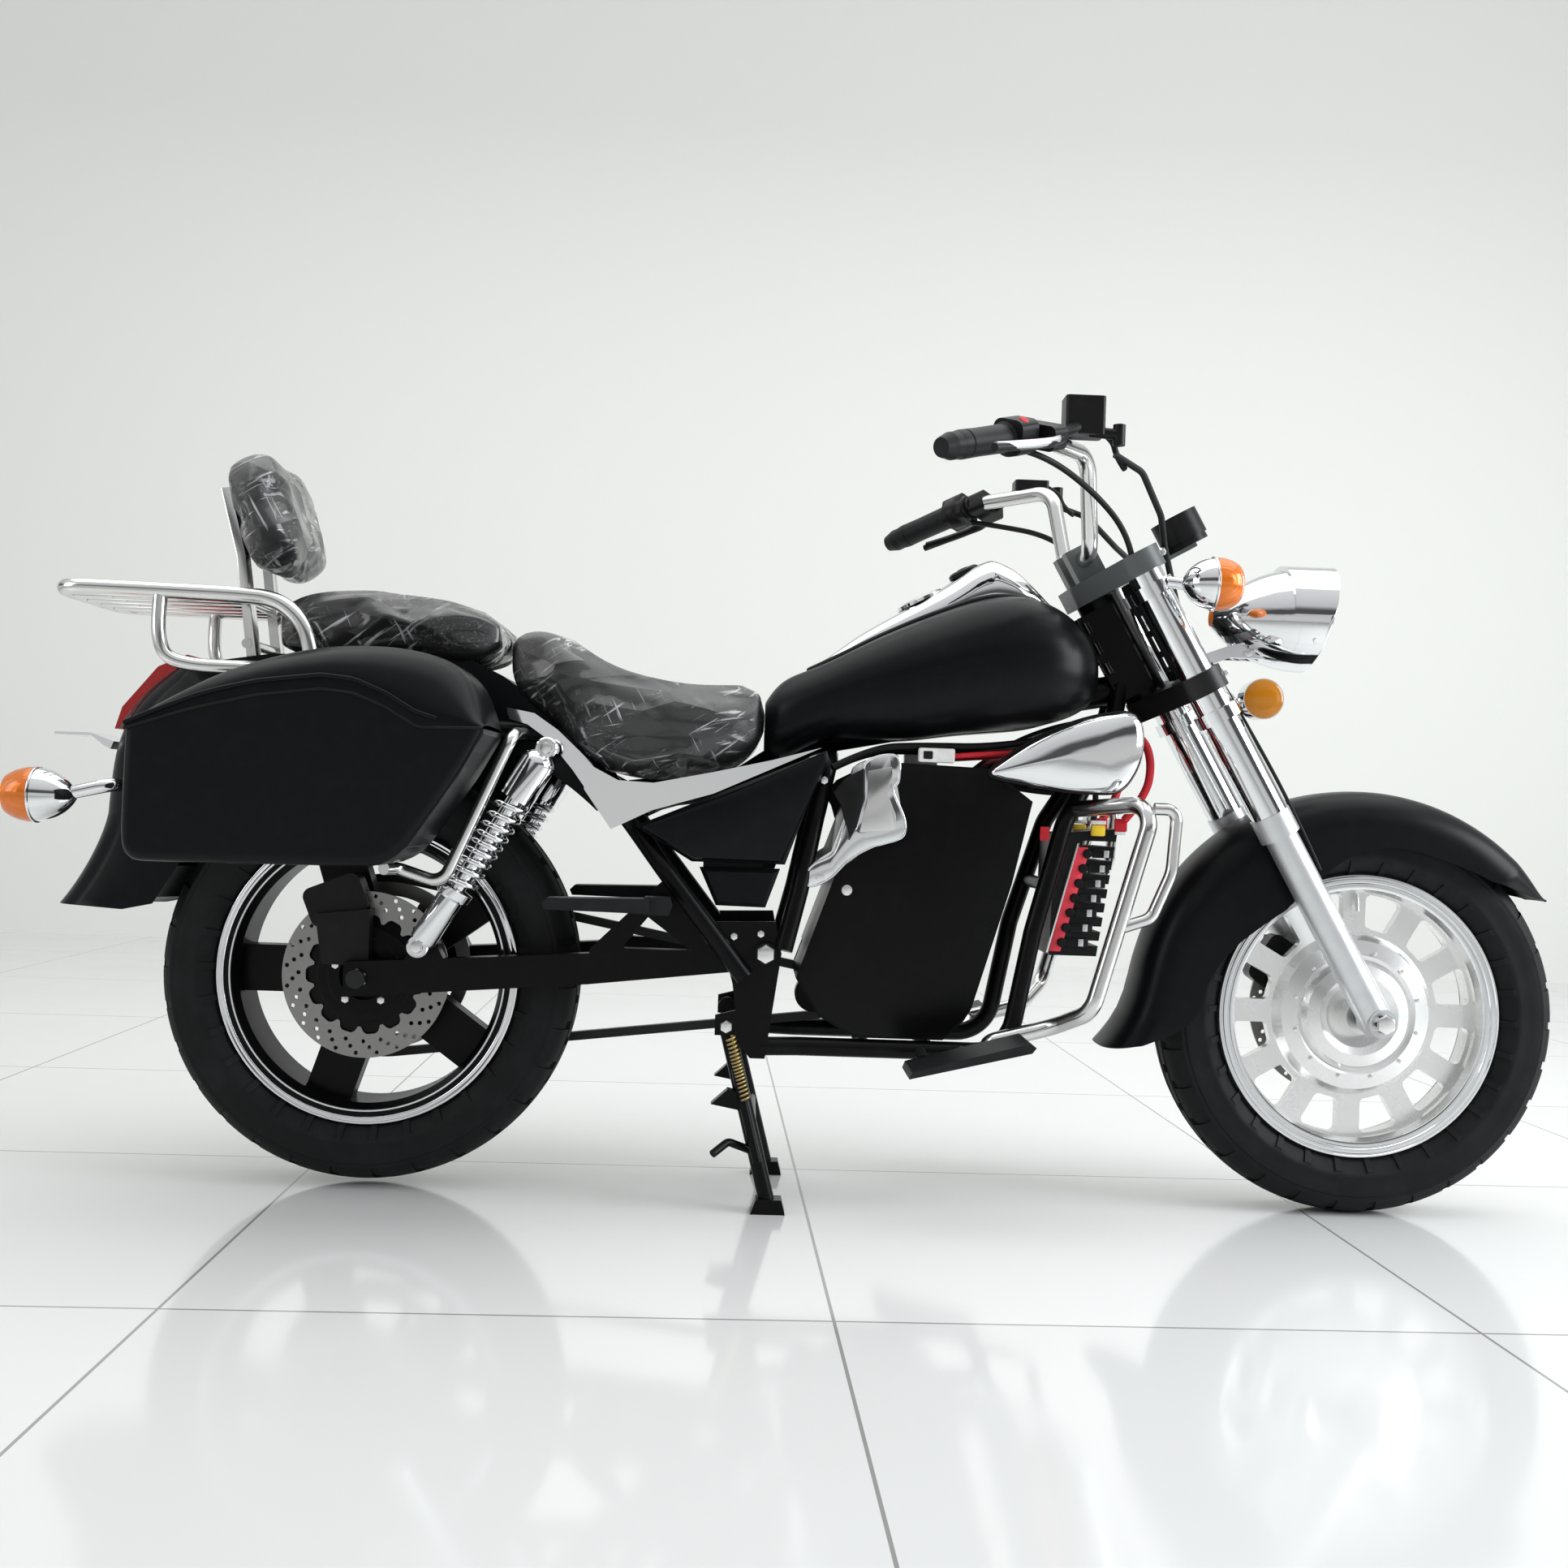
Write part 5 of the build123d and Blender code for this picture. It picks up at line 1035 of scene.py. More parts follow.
def lid_shell(side, word):
    rows = []
    for crest, foot in zip(top_line, seam_line):
        tall, low = crest.y - foot.y, foot.y + JOINT_GAP
        band = min(17.0, 0.3 * tall)
        section = [(foot.x, 370.4, low), (foot.x, 370.8, foot.y + band)]
        for k in range(1, 10):
            turn = math.radians(10 * k)
            rise = math.sin(turn)
            section.append((foot.x + (crest.x - foot.x) * rise,
                            BAG_FACE - 0.5 - LID_ROLL + LID_ROLL * math.cos(turn),
                            foot.y + band + (tall - band) * rise))
        section += [(crest.x, 205, crest.y - 1.5), (crest.x, BAG_INNER, crest.y - 8),
                    (foot.x, BAG_INNER, low)]
        inside = [(x, LID_MIDDLE + (y - LID_MIDDLE) * LID_HOLLOW,
                   max(low, z - min(LID_WALL, 0.3 * tall))) for x, y, z in reversed(section)]
        rows.append([at(x, side * y, z) for x, y, z in section + inside])
    bm = bmesh.new()
    grid = skin(bm, rows, closed=True)
    half = len(grid[0]) // 2
    for row in (grid[0], grid[-1]):
        for k in range(half - 1):
            bm.faces.new((row[k], row[k + 1], row[-2 - k], row[-1 - k]))
    piece(f"lid_shell_{word}", bm, f"bag_lid_{word}", body_paint,
          [f"bag_lid_{word}"], sharp=42)


print("a lid is", round(max(p.y - q.y for p, q in zip(top_line, seam_line))), "mm high at most")

# %% [markdown]
# ## Saddlebag skins
# The construction bag has a sharp edge where its side meets its outer face, and the moulded
# one is round there. Its outline is softened by cutting its corners twice, then drawn again
# in steps that move inward as they reach the face, and the face is filled up to the joint.

# %% Bag skin
BAG_SHELL = [(213, 697), (206, 680), (181, 633), (128, 553), (114, 534), (100, 520), (80, 509.5),
             (60, 507), (-225, 504.3), (-246, 505), (-258, 514), (-264, 533), (-264, 600),
             (-263, 680)]
BAG_CORNER, SKIN_LIFT = 14, 1.3


def seam_height(x):
    for (x0, z0), (x1, z1) in zip(BAG_SEAM, BAG_SEAM[1:]):
        if x <= x1:
            return z0 + (z1 - z0) * (x - x0) / (x1 - x0)
    return BAG_SEAM[-1][1]


def softened(line):
    """The line with each corner cut a quarter along both its sides."""
    cut = [line[0]]
    for p, q in zip(line, line[1:]):
        cut += [p.lerp(q, 0.25), p.lerp(q, 0.75)]
    return cut + [line[-1]]


def bag_skin(side, word):
    shell = softened(softened([Vector(p) for p in BAG_SHELL]))
    inward = []
    for i in range(len(shell)):
        along = shell[min(i + 1, len(shell) - 1)] - shell[max(i - 1, 0)]
        inward.append(Vector((-along.y, along.x)).normalized() * -1)
    steps = [(BAG_INNER, -SKIN_LIFT)]
    for k in range(7):
        turn = math.radians(15 * k)
        steps.append((BAG_FACE - BAG_CORNER + BAG_CORNER * math.sin(turn),
                      BAG_CORNER - BAG_CORNER * math.cos(turn) - SKIN_LIFT))
    rows = []
    for y, depth in steps:
        line = [p + n * depth for p, n in zip(shell, inward)]
        for end in (line[0], line[-1]):
            end.y = seam_height(end.x)
        rows.append([at(p.x, side * y, p.y) for p in line])
    bm = bmesh.new()
    grid = skin(bm, rows)
    loop = grid[-1] + [bm.verts.new(at(x, side * BAG_FACE, z)) for x, z in BAG_SEAM[1:-1]]
    edges = [bm.edges.get(pair) or bm.edges.new(pair) for pair in zip(loop, loop[1:] + loop[:1])]
    bmesh.ops.triangle_fill(bm, use_beauty=True, edges=edges)
    piece(f"bag_skin_{word}", bm, "chassis", body_paint, sharp=42)


print("a bag's outline has", len(softened(softened([Vector(p) for p in BAG_SHELL]))), "points")

# %% [markdown]
# ## Lips and beads
# A black lip runs along the joint between lid and bag, and an arched bead is pressed into
# the lid's outer face. Both follow the shell's own lines, so both are bent bars laid along
# them that ride on the lid.

# %% Lips, beads and both bags
def bag_trim(side, word):
    lip = [at(p.x, side * 370.6, p.y + 0.4) for p in seam_line]
    bent_bar(f"bag_lip_{word}", lip, 2.2, f"bag_lid_{word}", gasket)
    bead = [at(foot.x, side * 370.4, foot.y + 4 + min(15.0, 0.3 * (crest.y - foot.y)))
            for crest, foot in zip(top_line, seam_line) if foot.x < 140]
    bead.append(at(152, side * 369, 708))
    bent_bar(f"lid_bead_{word}", bead, 3.4, f"bag_lid_{word}", body_paint)


for side, word in SIDES:
    lid_shell(side, word)
    bag_skin(side, word)
    bag_trim(side, word)
tell("saddlebags:")

# %% [markdown]
# ## Helpers for plates, covers and edges
# A plate starts as one flat face, is extruded by its thickness and has its outer edges
# broken with a bevel. A pressed cover is rows of its own outline that shrink as they rise,
# and an edge strip is a thin bar laid round the outline.

# %% Plate, cover and edge helpers
def plate(name, outline, y_inner, y_outer, edge, body, material):
    """A flat plate from a (station, Z) outline, mirrored to both sides."""
    bm = bmesh.new()
    for side, _ in SIDES:
        corners = [bm.verts.new(at(x, side * y_inner, z)) for x, z in outline]
        face = bm.faces.new(corners)
        grown = bmesh.ops.extrude_face_region(bm, geom=[face])
        outer = [v for v in grown["geom"] if isinstance(v, bmesh.types.BMVert)]
        bmesh.ops.translate(bm, verts=outer, vec=(0, side * (y_outer - y_inner) * MM, 0))
        rim = [e for v in outer for e in v.link_edges if all(w in outer for w in e.verts)]
        bmesh.ops.bevel(bm, geom=list(dict.fromkeys(rim)), offset=edge * MM, segments=2,
                        profile=0.5, affect="EDGES", material=-1)
    return piece(name, bm, body, material)


def shrink_outline(outline, share):
    """The outline drawn in towards the mean of its points."""
    mid_x = sum(x for x, _ in outline) / len(outline)
    mid_z = sum(z for _, z in outline) / len(outline)
    return [(mid_x + (x - mid_x) * share, mid_z + (z - mid_z) * share) for x, z in outline]


def domed(name, outline, y_base, edge, rise, centre, body, material, replaces=()):
    """A pressed cover on both sides: a smooth outline, a short wall and a domed face."""
    loop, centre = through(outline, 6, closed=True), Vector(centre)
    bm = bmesh.new()
    for side, _ in SIDES:
        rows = [[at(p.x, side * y_base, p.y) for p in loop]]
        for share in (1.0, 0.985, 0.94, 0.84, 0.68, 0.46, 0.22):
            lift = edge + rise * (1 - share ** 2.4) ** 0.6
            rows.append([at(centre.x + (p.x - centre.x) * share, side * (y_base + lift),
                            centre.y + (p.y - centre.y) * share) for p in loop])
        grid = skin(bm, rows, closed=True)
        tip = bm.verts.new(at(centre.x, side * (y_base + edge + rise), centre.y))
        last = grid[-1]
        for i in range(len(last)):
            bm.faces.new((last[i], last[(i + 1) % len(last)], tip))
        bm.faces.new(list(reversed(grid[0])))
    return piece(name, bm, body, material, replaces, sharp=40)


def edging(name, outline, y, radius, material):
    """A round edge strip along a closed outline, on both sides of the chassis."""
    loop = through(outline, 6, closed=True)
    for side, word in SIDES:
        line = [at(p.x, side * y, p.y) for p in loop + loop[:1]]
        bent_bar(f"{name}_{word}", line, radius, "chassis", material)


tell("plate helpers:")

# %% [markdown]
# ## Scoops, brackets and covers
# Each scoop is a domed mirror plate inside a black edge. A bright bracket with a black horn
# on it stands beside the box, and the box carries a thin cover held by screws.

# %% Scoops, brackets and covers
SCOOP = [(938, 671), (975, 702), (1017, 729), (1060, 748), (1103, 761), (1142, 766), (1162, 752),
         (1166, 715), (1156, 677), (1132, 648), (1090, 644), (1040, 647), (985, 655), (950, 661)]
domed("scoop_shells", SCOOP, 119.0, 13.0, 17.0, (1085, 706), "chassis", chrome,
      ["tank_scoops"])
edging("scoop_edge", SCOOP, 120.5, 3.4, gasket)
BRACKET = [(748, 676), (794, 689), (799, 652), (791, 636), (809, 595), (808, 568), (780, 556),
           (761, 550), (728, 530), (701, 502), (673, 489), (660, 499), (675, 521), (704, 538),
           (718, 579), (726, 598), (736, 576), (746, 622)]
plate("box_bright_bracket", through(BRACKET, 4, closed=True), 126.4, 130.0, 1.2, "chassis",
      chrome)
edging("bracket_rim", BRACKET, 129.6, 2.0, chrome)
plate("bracket_panel", [(752, 664), (788, 672), (790, 650), (781, 634), (796, 600), (796, 578),
                        (742, 572), (752, 618)], 130.1, 131.4, 0.6, "chassis",
      soft_chrome)
plate("bracket_horn", [(700, 630), (720, 654), (746, 668), (748, 622), (738, 580), (728, 560),
                       (722, 580), (712, 612)], 130.1, 138.0, 3.5, "chassis",
      plastic)
COVER = [(412, 569), (560, 630), (686, 690), (690, 674), (664, 612), (626, 523), (496, 524)]
plate("side_cover_faces", COVER, 145.8, 155.5, 8.5, "chassis", body_paint)
BOX = [(796, 679), (938, 675), (1004, 627), (976, 500), (921, 311), (911, 294), (879, 263),
       (746, 263), (691, 293), (655, 349), (706, 498), (721, 595), (744, 657), (788, 679)]
plate("box_side_covers", shrink_outline(BOX, 0.985), 118.0, 119.6, 0.7, "chassis",
      frame_paint)
# station, Y and height of a screw's foot, its radius, height and sides
CHASSIS_SCREWS = ((727, 119.5, 484, 8.5, 3.2, 20), (727, 122.4, 484, 4.0, 1.6, 6),
                  (686, 130.0, 503, 7.5, 4.0, 6), (687, 127.0, 648, 6.5, 6.0, 6),
                  (608, 143.6, 386, 15, 8, 6), (553, 131.6, 275, 10, 6, 6),
                  (560, 131.8, 410, 6, 5, 6), (600, 131.8, 415, 6, 5, 6))
bm = bmesh.new()
for side, _ in SIDES:
    for x, y, z, radius, height, sides in CHASSIS_SCREWS:
        bolt(bm, at(x, side * y, z), (0, side, 0), radius, height, sides)
piece("chassis_screws", bm, "chassis", bright_alloy)
tell("scoops, brackets and covers:")

# %% [markdown]
# ## Luggage rack
# The rack is bent from stout bright tube: one loop that dives behind the pillion seat, a
# lower hoop on each side, thin slats, and two flat uprights for the backrest. A smooth spline
# through a few points gives the wide, even bends of a tube bender. The straight tubes are
# drawn without smoothing.

# %% Rack tubes and uprights
RACK_HALF = 125  # from the middle plane to the loop's tube
half_loop = [(-464, 0, 897), (-466, 60, 897), (-464, 104, 897), (-446, RACK_HALF, 897),
             (-400, RACK_HALF, 897), (-300, RACK_HALF, 895.5), (-196, RACK_HALF, 894),
             (-140, RACK_HALF, 890), (-100, RACK_HALF, 858), (-86, RACK_HALF, 816),
             (-84, RACK_HALF, 780), (-84, RACK_HALF, 744)]
loop = [at(x, -y, z) for x, y, z in reversed(half_loop)] + [at(*p) for p in half_loop[1:]]
HOOP = ((-312, 893), (-314, 860), (-312, 822), (-300, 796), (-262, 786), (-200, 785), (-90, 785))


def rack_tube(name, points, radius, smooth=True, replaces=()):
    bent_bar(name, points, radius, "chassis", soft_chrome, smooth, replaces)


rack_tube("rack_loop", loop, 12.4, replaces=["rack"])
for side, word in SIDES:
    rack_tube(f"rack_hoop_{word}", [at(x, side * RACK_HALF, z) for x, z in HOOP], 10.6)
    for share in (0.21, 0.62):
        aside = side * share * RACK_HALF
        rack_tube(f"rack_slat_{word}_{int(100 * share)}",
                  [at(-462, aside, 890), at(-205, aside, 890)], 6.0, smooth=False)
for name, x, reach, z, radius in (("rear", -400, RACK_HALF, 893, 6.0),
                                  ("middle", -205, RACK_HALF, 893, 8.0),
                                  ("lower", -196, 80, 826, 8.0)):
    rack_tube(f"rack_cross_{name}", [at(x, -reach, z), at(x, reach, z)], radius, smooth=False)
uprights = plate("backrest_uprights", [(-180, 800), (-203.8, 962), (-231.8, 1064), (-246, 1062),
                                       (-218, 960), (-196, 800)], 54.0, 78.0, 2.0, "chassis",
                 soft_chrome)
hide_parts("rack")
tell("luggage rack:")

# %% [markdown]
# ## Console, dial and cap
# The bright console on the tank carries a dark blue round dial and a black key cap, and a
# soft black gasket separates it from the paint. Its width and crest change all along, so it
# is skinned through rounded sections. The dial is a turned ring round a low blue dome.

# %% Console, dial and cap
# station, half width, height of the paint, height of the crest
CONSOLE = [(664, 7, 821, 825), (680, 21, 828, 836), (700, 28, 838, 851), (730, 39, 853, 874),
           (760, 45, 869, 894), (800, 52, 888, 918), (840, 58, 906, 942), (880, 62, 921, 968),
           (912, 63, 933, 992), (936, 62, 939, 1004), (950, 61, 941, 1005),
           (970, 56, 942, 998), (990, 50, 941, 986), (1010, 42, 937, 969), (1030, 33, 930, 950),
           (1046, 24, 921, 934), (1053, 8, 916, 922)]
CONSOLE_STEPS = 24
DIAL, CAP = (838, 0, 938), (905, 0, 984)
rows, edge_line = [], []
for station, half, paint, crest in through(CONSOLE, 4):
    row = []
    for k in range(CONSOLE_STEPS + 1):
        turn = math.pi * k / CONSOLE_STEPS
        row.append(at(station, -half * math.copysign(abs(math.cos(turn)) ** 0.62, math.cos(turn)),
                      paint - 1 + (crest - paint + 1) * math.sin(turn) ** 0.85))
    row += [at(station, 0.9 * half, paint - 9), at(station, -0.9 * half, paint - 9)]
    rows.append(row)
    edge_line.append((station, half + 1.5, paint + 1.5))
bm = bmesh.new()
grid = skin(bm, rows, closed=True)
bm.faces.new(grid[0])
bm.faces.new(list(reversed(grid[-1])))
piece("console_shell", bm, "chassis", chrome, ["tank_console"], sharp=50)
lip = [at(x, -y, z) for x, y, z in edge_line[::3]] + [
    at(x, y, z) for x, y, z in reversed(edge_line[::3])]
bent_bar("console_gasket", lip + lip[:1], 5.4, "chassis", gasket)
console_up = Vector((-0.44, 0, 0.9)).normalized()
bm = bmesh.new()
turned(bm, [(0, 40), (5, 40), (7, 37), (7, 34), (3, 33), (3, 0)], at(*DIAL), console_up,
       steps=64, closed=False)
piece("console_dial_ring", bm, "chassis", chrome, sharp=50)
bm = bmesh.new()
turned(bm, [(4, 33), (6, 26), (7.4, 13), (7.8, 0)], at(*DIAL), console_up, steps=48,
       closed=False)
piece("console_dial", bm, "chassis", dial_face, sharp=60)
bm = bmesh.new()
turned(bm, [(0, 25), (6, 25), (9, 21), (9, 10), (11, 8), (11, 0)], at(*CAP), console_up,
       steps=48, closed=False)
piece("console_cap", bm, "chassis", plastic, sharp=40)
tell("console:")

# %% [markdown]
# ## Control castings
# The castings at the bar keep their construction mesh. The left reservoir stands lower than
# the right one, so its lid is pressed down.

# %% Control castings
RIGHT_LID, LEFT_LID = 1215.4, 1181.0  # heights of the two reservoirs' lids
RESERVOIR = (1042, 214)  # station and Y of their middle
bm = bmesh.new()
bm.from_mesh(nodes["controls"].data)
bmesh.ops.remove_doubles(bm, verts=bm.verts, dist=1e-5)
for v in bm.verts:
    if (v.co.y > 0.18 and v.co.z > LEFT_LID * MM
            and abs(v.co.x - at(RESERVOIR[0], 0, 0).x) < 0.032):
        v.co.z = LEFT_LID * MM
piece("control_castings", bm, "steering", plastic, ["controls"], sharp=28)
tell("control castings:")

# %% [markdown]
# ## Grips, levers and lines
# The grips are rubber sleeves with collars, so they are stepped profiles turned round the
# bar. The levers are slim bars that curve ahead of the grips, the right one bright and the
# left one black. Each side is placed by a small frame of directions along its handlebar end.

# %% Grips, levers and lines
def bar_frame(side):
    """The bar's end and the directions along it, ahead of it and upward."""
    end, inner = at(828, side * 380, 1100), at(957, side * 262, 1149)
    along = (inner - end).normalized()
    ahead = (Vector((1, 0, 0)) - along * along.x).normalized()
    upward = ahead.cross(along) if side < 0 else along.cross(ahead)
    return end, along, ahead, upward


# (along the bar, radius) of the grip's sleeve and of the switch housing beside it
SLEEVE = [(0.3, 11.0), (1.2, 13.5), (4, 16.4), (12, 18.9), (22, 20.3), (29, 20.4), (30, 18.9),
          (32, 18.9), (33, 20.2), (60, 19.8), (118, 20.4), (120, 23.0), (123, 23.0), (124, 20.0),
          (124, 13.2), (0.3, 10.9)]
HOUSING = [(126, 13.4), (126, 24), (129, 27), (146, 27.6), (150, 25), (151, 23), (163, 23),
           (166, 21), (166, 13.4)]
# (along the bar, ahead of it, above it)
LEVER = ((188, 44, 0), (176, 56, 0), (120, 66, 3), (64, 64, 5), (26, 58, 6))

for side, word in SIDES:
    end, along, ahead, upward = bar_frame(side)

    def hold(distance, forward, rise):
        return end + (along * distance + ahead * forward + upward * rise) * MM

    bm = bmesh.new()
    turned(bm, SLEEVE, end, along, steps=48)
    piece(f"grip_sleeve_{word}", bm, "steering", grip_rubber, sharp=30)
    bm = bmesh.new()
    turned(bm, HOUSING, end, along, steps=40)
    turned(bm, [(0, 8), (9, 8), (11, 6.4), (11.5, 0)], hold(138, 14, 18), upward + ahead * 0.6,
           steps=24, closed=False, material=1)
    piece(f"switch_housing_{word}", bm, "steering", [plastic, red_plastic],
          sharp=35)
    bent_bar(f"lever_{word}", [hold(*p) for p in LEVER], 6.6, "steering",
             alloy if side < 0 else plastic)
    bm = bmesh.new()
    for dx, dy in ((-20, -14), (20, -14), (-20, 14), (20, 14)):
        bolt(bm, at(RESERVOIR[0] + dx, side * (RESERVOIR[1] + dy),
                    RIGHT_LID if side < 0 else LEFT_LID), (0, 0, 1), 3.4, 0.5, 12)
    for clamp in (579, 785):
        bolt(bm, on_fork(clamp, 35, side * (FORK_HALF + 6)), FORK_AHEAD, 6, 7)
    piece(f"steering_screws_{word}", bm, "steering", bright_alloy)
    # a throttle or switch cable from the control to the head
    bent_bar(f"bar_cable_{word}",
             [hold(158, 16, -20), hold(190, 34, -30), at(1072, side * 180, 1084),
              at(1124, side * 158, 1034), at(1150, side * 118, 972), on_fork(700, 42, side * 66),
              on_fork(640, 36, side * 40), on_fork(600, 20, side * 30)], 4.6, "steering",
             gasket)
    bent_bar(f"reservoir_hose_{word}",
             [at(1058, side * 208, 1176), at(1088, side * 202, 1164), at(1096, side * 198, 1136),
              at(1112, side * 184, 1122)], 4.6, "steering", gasket)
tell("grips, levers and lines:")

# %% [markdown]
# ## Cooler clips and strips
# Behind the front guards stands a finned controller. It has a column of clips with small
# bright tabs, a red strip and a bright edge. The clips are one small bevelled block, made
# again down the column as it leans with the cooler's rear edge.

# %% Cooler details
def block(bm, low, high, edge, material=0):
    """A box between two corners in mm (station, Y, Z) with broken edges."""
    made = bmesh.ops.create_cube(bm, size=1.0)["verts"]
    size = [abs(b - a) * MM for a, b in zip(low, high)]
    centre = at(*[(a + b) / 2 for a, b in zip(low, high)])
    bmesh.ops.scale(bm, verts=made, vec=size)
    bmesh.ops.translate(bm, verts=made, vec=centre)
    edges = list(dict.fromkeys(e for v in made for e in v.link_edges))
    for face in {f for v in made for f in v.link_faces}:
        face.material_index = material
    if edge:
        bmesh.ops.bevel(bm, geom=edges, offset=edge * MM, segments=2, profile=0.5,
                        affect="EDGES", material=-1)


def lean(z):
    """The station of the cooler's rear edge at a height."""
    return 1044 + (z - 395) * 0.257


COOLER_SIDE, CLIP_ROWS, CLIP_PITCH = 62.2, 7, 23
bm = bmesh.new()
for side, _ in SIDES:
    for row in range(CLIP_ROWS):
        z = 412 + CLIP_PITCH * row
        turned(bm, [(0, 7.2), (4, 7.2), (5.5, 5.6), (5.5, 0)],
               at(lean(z) + 17, side * COOLER_SIDE, z), (0, side, 0), steps=20, closed=False)
        block(bm, (lean(z) + 24, side * COOLER_SIDE, z - 6),
              (lean(z) + 58, side * 66.5, z + 7), 1.2)
        block(bm, (lean(z) + 42, side * 66.4, z - 5), (lean(z) + 50, side * 68.4, z + 6), 0.6, 1)
piece("cooler_clips", bm, "chassis", [plastic, alloy], sharp=35)
RED_STRIP = [(lean(398) + 1, 398), (lean(560), 560), (lean(560) + 15, 560), (lean(552) + 19, 552),
             (lean(398) + 19, 398)]
plate("cooler_red_strips", RED_STRIP, COOLER_SIDE, 64.2, 0.6, "chassis", red_plate)
plate("cooler_bright_edges", [(lean(396) - 3, 396), (lean(566) - 3, 566), (lean(566), 566),
                              (lean(396), 396)], 61.0, 65.2, 0.5, "chassis",
      bright_alloy)
tell("cooler:")

# %% [markdown]
# ## Plugs and cables
# Bright plugs sit above the controller and beside the box, and a few cables run between
# them. Each plug is a bevelled block with its own colour, and each cable is a bent bar
# through a few points of its route.

# %% Plugs and cables
PLUG_COLOURS = [yellow_plastic, red_plastic, white_plastic, plastic]
# one corner, the opposite corner, the bevel and the colour's place in PLUG_COLOURS
PLUGS = (((1104, 64, 578), (1126, 74, 595), 2.5, 0), ((1103, 64, 596), (1127, 73, 602), 1.0, 2),
         ((1141, 62, 586), (1160, 72, 606), 2.0, 1), ((1142, 62, 581), (1158, 71, 586), 1.0, 2),
         ((1016, 119.2, 569), (1030, 122, 590), 1.5, 1), ((829, 104, 681), (884, 118, 703), 3.0, 2),
         ((836, 117.5, 686), (850, 119, 698), 1.5, 3))
CABLES = (  # name, radius, slot, finish and route
    ("red_cable", 6.4, "black_plastic", red_plastic,
     ((1122, 92, 728), (1154, 98, 738), (1178, 100, 724), (1188, 98, 688), (1182, 91, 642),
      (1154, 76, 604))),
    ("box_cable", 4.2, "black_plastic", red_plastic,
     ((884, 108, 692), (930, 106, 697), (1000, 92, 702), (1060, 70, 716))),
    ("black_cable", 6.0, "grip_rubber", gasket,
     ((700, 112, 668), (760, 104, 700), (830, 96, 706), (960, 90, 708), (1060, 76, 730))),
    ("loom", 4.6, "grip_rubber", gasket,
     ((1108, 66, 600), (1112, 76, 644), (1090, 92, 690), (1040, 92, 724))),
)
bm = bmesh.new()
for side, _ in SIDES:
    for (x0, y0, z0), (x1, y1, z1), edge, colour in PLUGS:
        block(bm, (x0, side * y0, z0), (x1, side * y1, z1), edge, colour)
piece("plugs", bm, "chassis", PLUG_COLOURS, sharp=35)
for side, word in SIDES:
    for name, radius, slot, finish, route in CABLES:
        bent_bar(f"{name}_{word}", [at(x, side * y, z) for x, y, z in route], radius, "chassis",
                 finish)
tell("plugs and cables:")

# %% [markdown]
# ## Steering head, stand spring and small lines
# Between the fork tubes stands a black slotted plate, made of short bars that are each the
# hull of eight corners. A yellow zinc coil hangs at the centre stand, and a thin brake line
# runs down each fork tube.

# %% Slotted plate, spring and brake line
# from and to along the fork, then the near and far Y: two rails, then the rungs
PLATE_BARS = ((600, 766, 30, 44), (600, 766, 66, 74), (600, 616, 44, 66), (640, 650, 44, 66),
              (676, 686, 44, 66), (712, 722, 44, 66), (748, 766, 44, 66))
PLATE_FACES = (-16, -20)  # ahead of the fork tubes
bm = bmesh.new()
for side, _ in SIDES:
    for low_t, high_t, near, far in PLATE_BARS:
        corners = [bm.verts.new(on_fork(t, ahead, side * y))
                   for t in (low_t, high_t) for y in (near, far) for ahead in PLATE_FACES]
        bmesh.ops.convex_hull(bm, input=corners)
piece("slotted_plate", bm, "steering", plastic, sharp=30)
coil("stand_spring", at(560, -141, 262), at(586, -144, 168), 6.4, 1.7, 17, "chassis",
     zinc)
for side, word in SIDES:
    bent_bar(f"brake_line_{word}", [on_fork(600, 34, side * 88), on_fork(480, 40, side * 92),
                                    on_fork(330, 42, side * 92), on_fork(240, 36, side * 92)],
             3.0, "steering", gasket)
tell("steering head, spring and lines:")

# %% [markdown]
# ## Floor, wall and lamps
# The floor is glazed pale tile, so it has thin joints and a soft reflection. The wall is
# plain and glows a little, as a sunlit one does.

# %% Floor and wall
TILE = 0.785  # metres between joints


def stage_plane(name, size, centre, turn, material):
    bm = bmesh.new()
    bmesh.ops.create_grid(bm, x_segments=1, y_segments=1, size=size / 2)
    bmesh.ops.rotate(bm, verts=bm.verts, matrix=turn)
    bmesh.ops.translate(bm, verts=bm.verts, vec=centre)
    mesh = bpy.data.meshes.new(name)
    bm.to_mesh(mesh)
    bm.free()
    made = bpy.data.objects.new(name, mesh)
    scene.collection.objects.link(made)
    made.data.materials.append(material)


tile, tree, shader = new_finish("glazed_tile", (0.7, 0.71, 0.71), 0.1)
joints = add_node(tree, "ShaderNodeTexBrick", Scale=1.0, Mortar_Size=0.0022, Brick_Width=TILE,
                  Row_Height=TILE)
joints.offset = 0.0
joints.inputs["Color1"].default_value = (0.74, 0.745, 0.74, 1)
joints.inputs["Color2"].default_value = (0.71, 0.715, 0.71, 1)
joints.inputs["Mortar"].default_value = (0.3, 0.3, 0.29, 1)
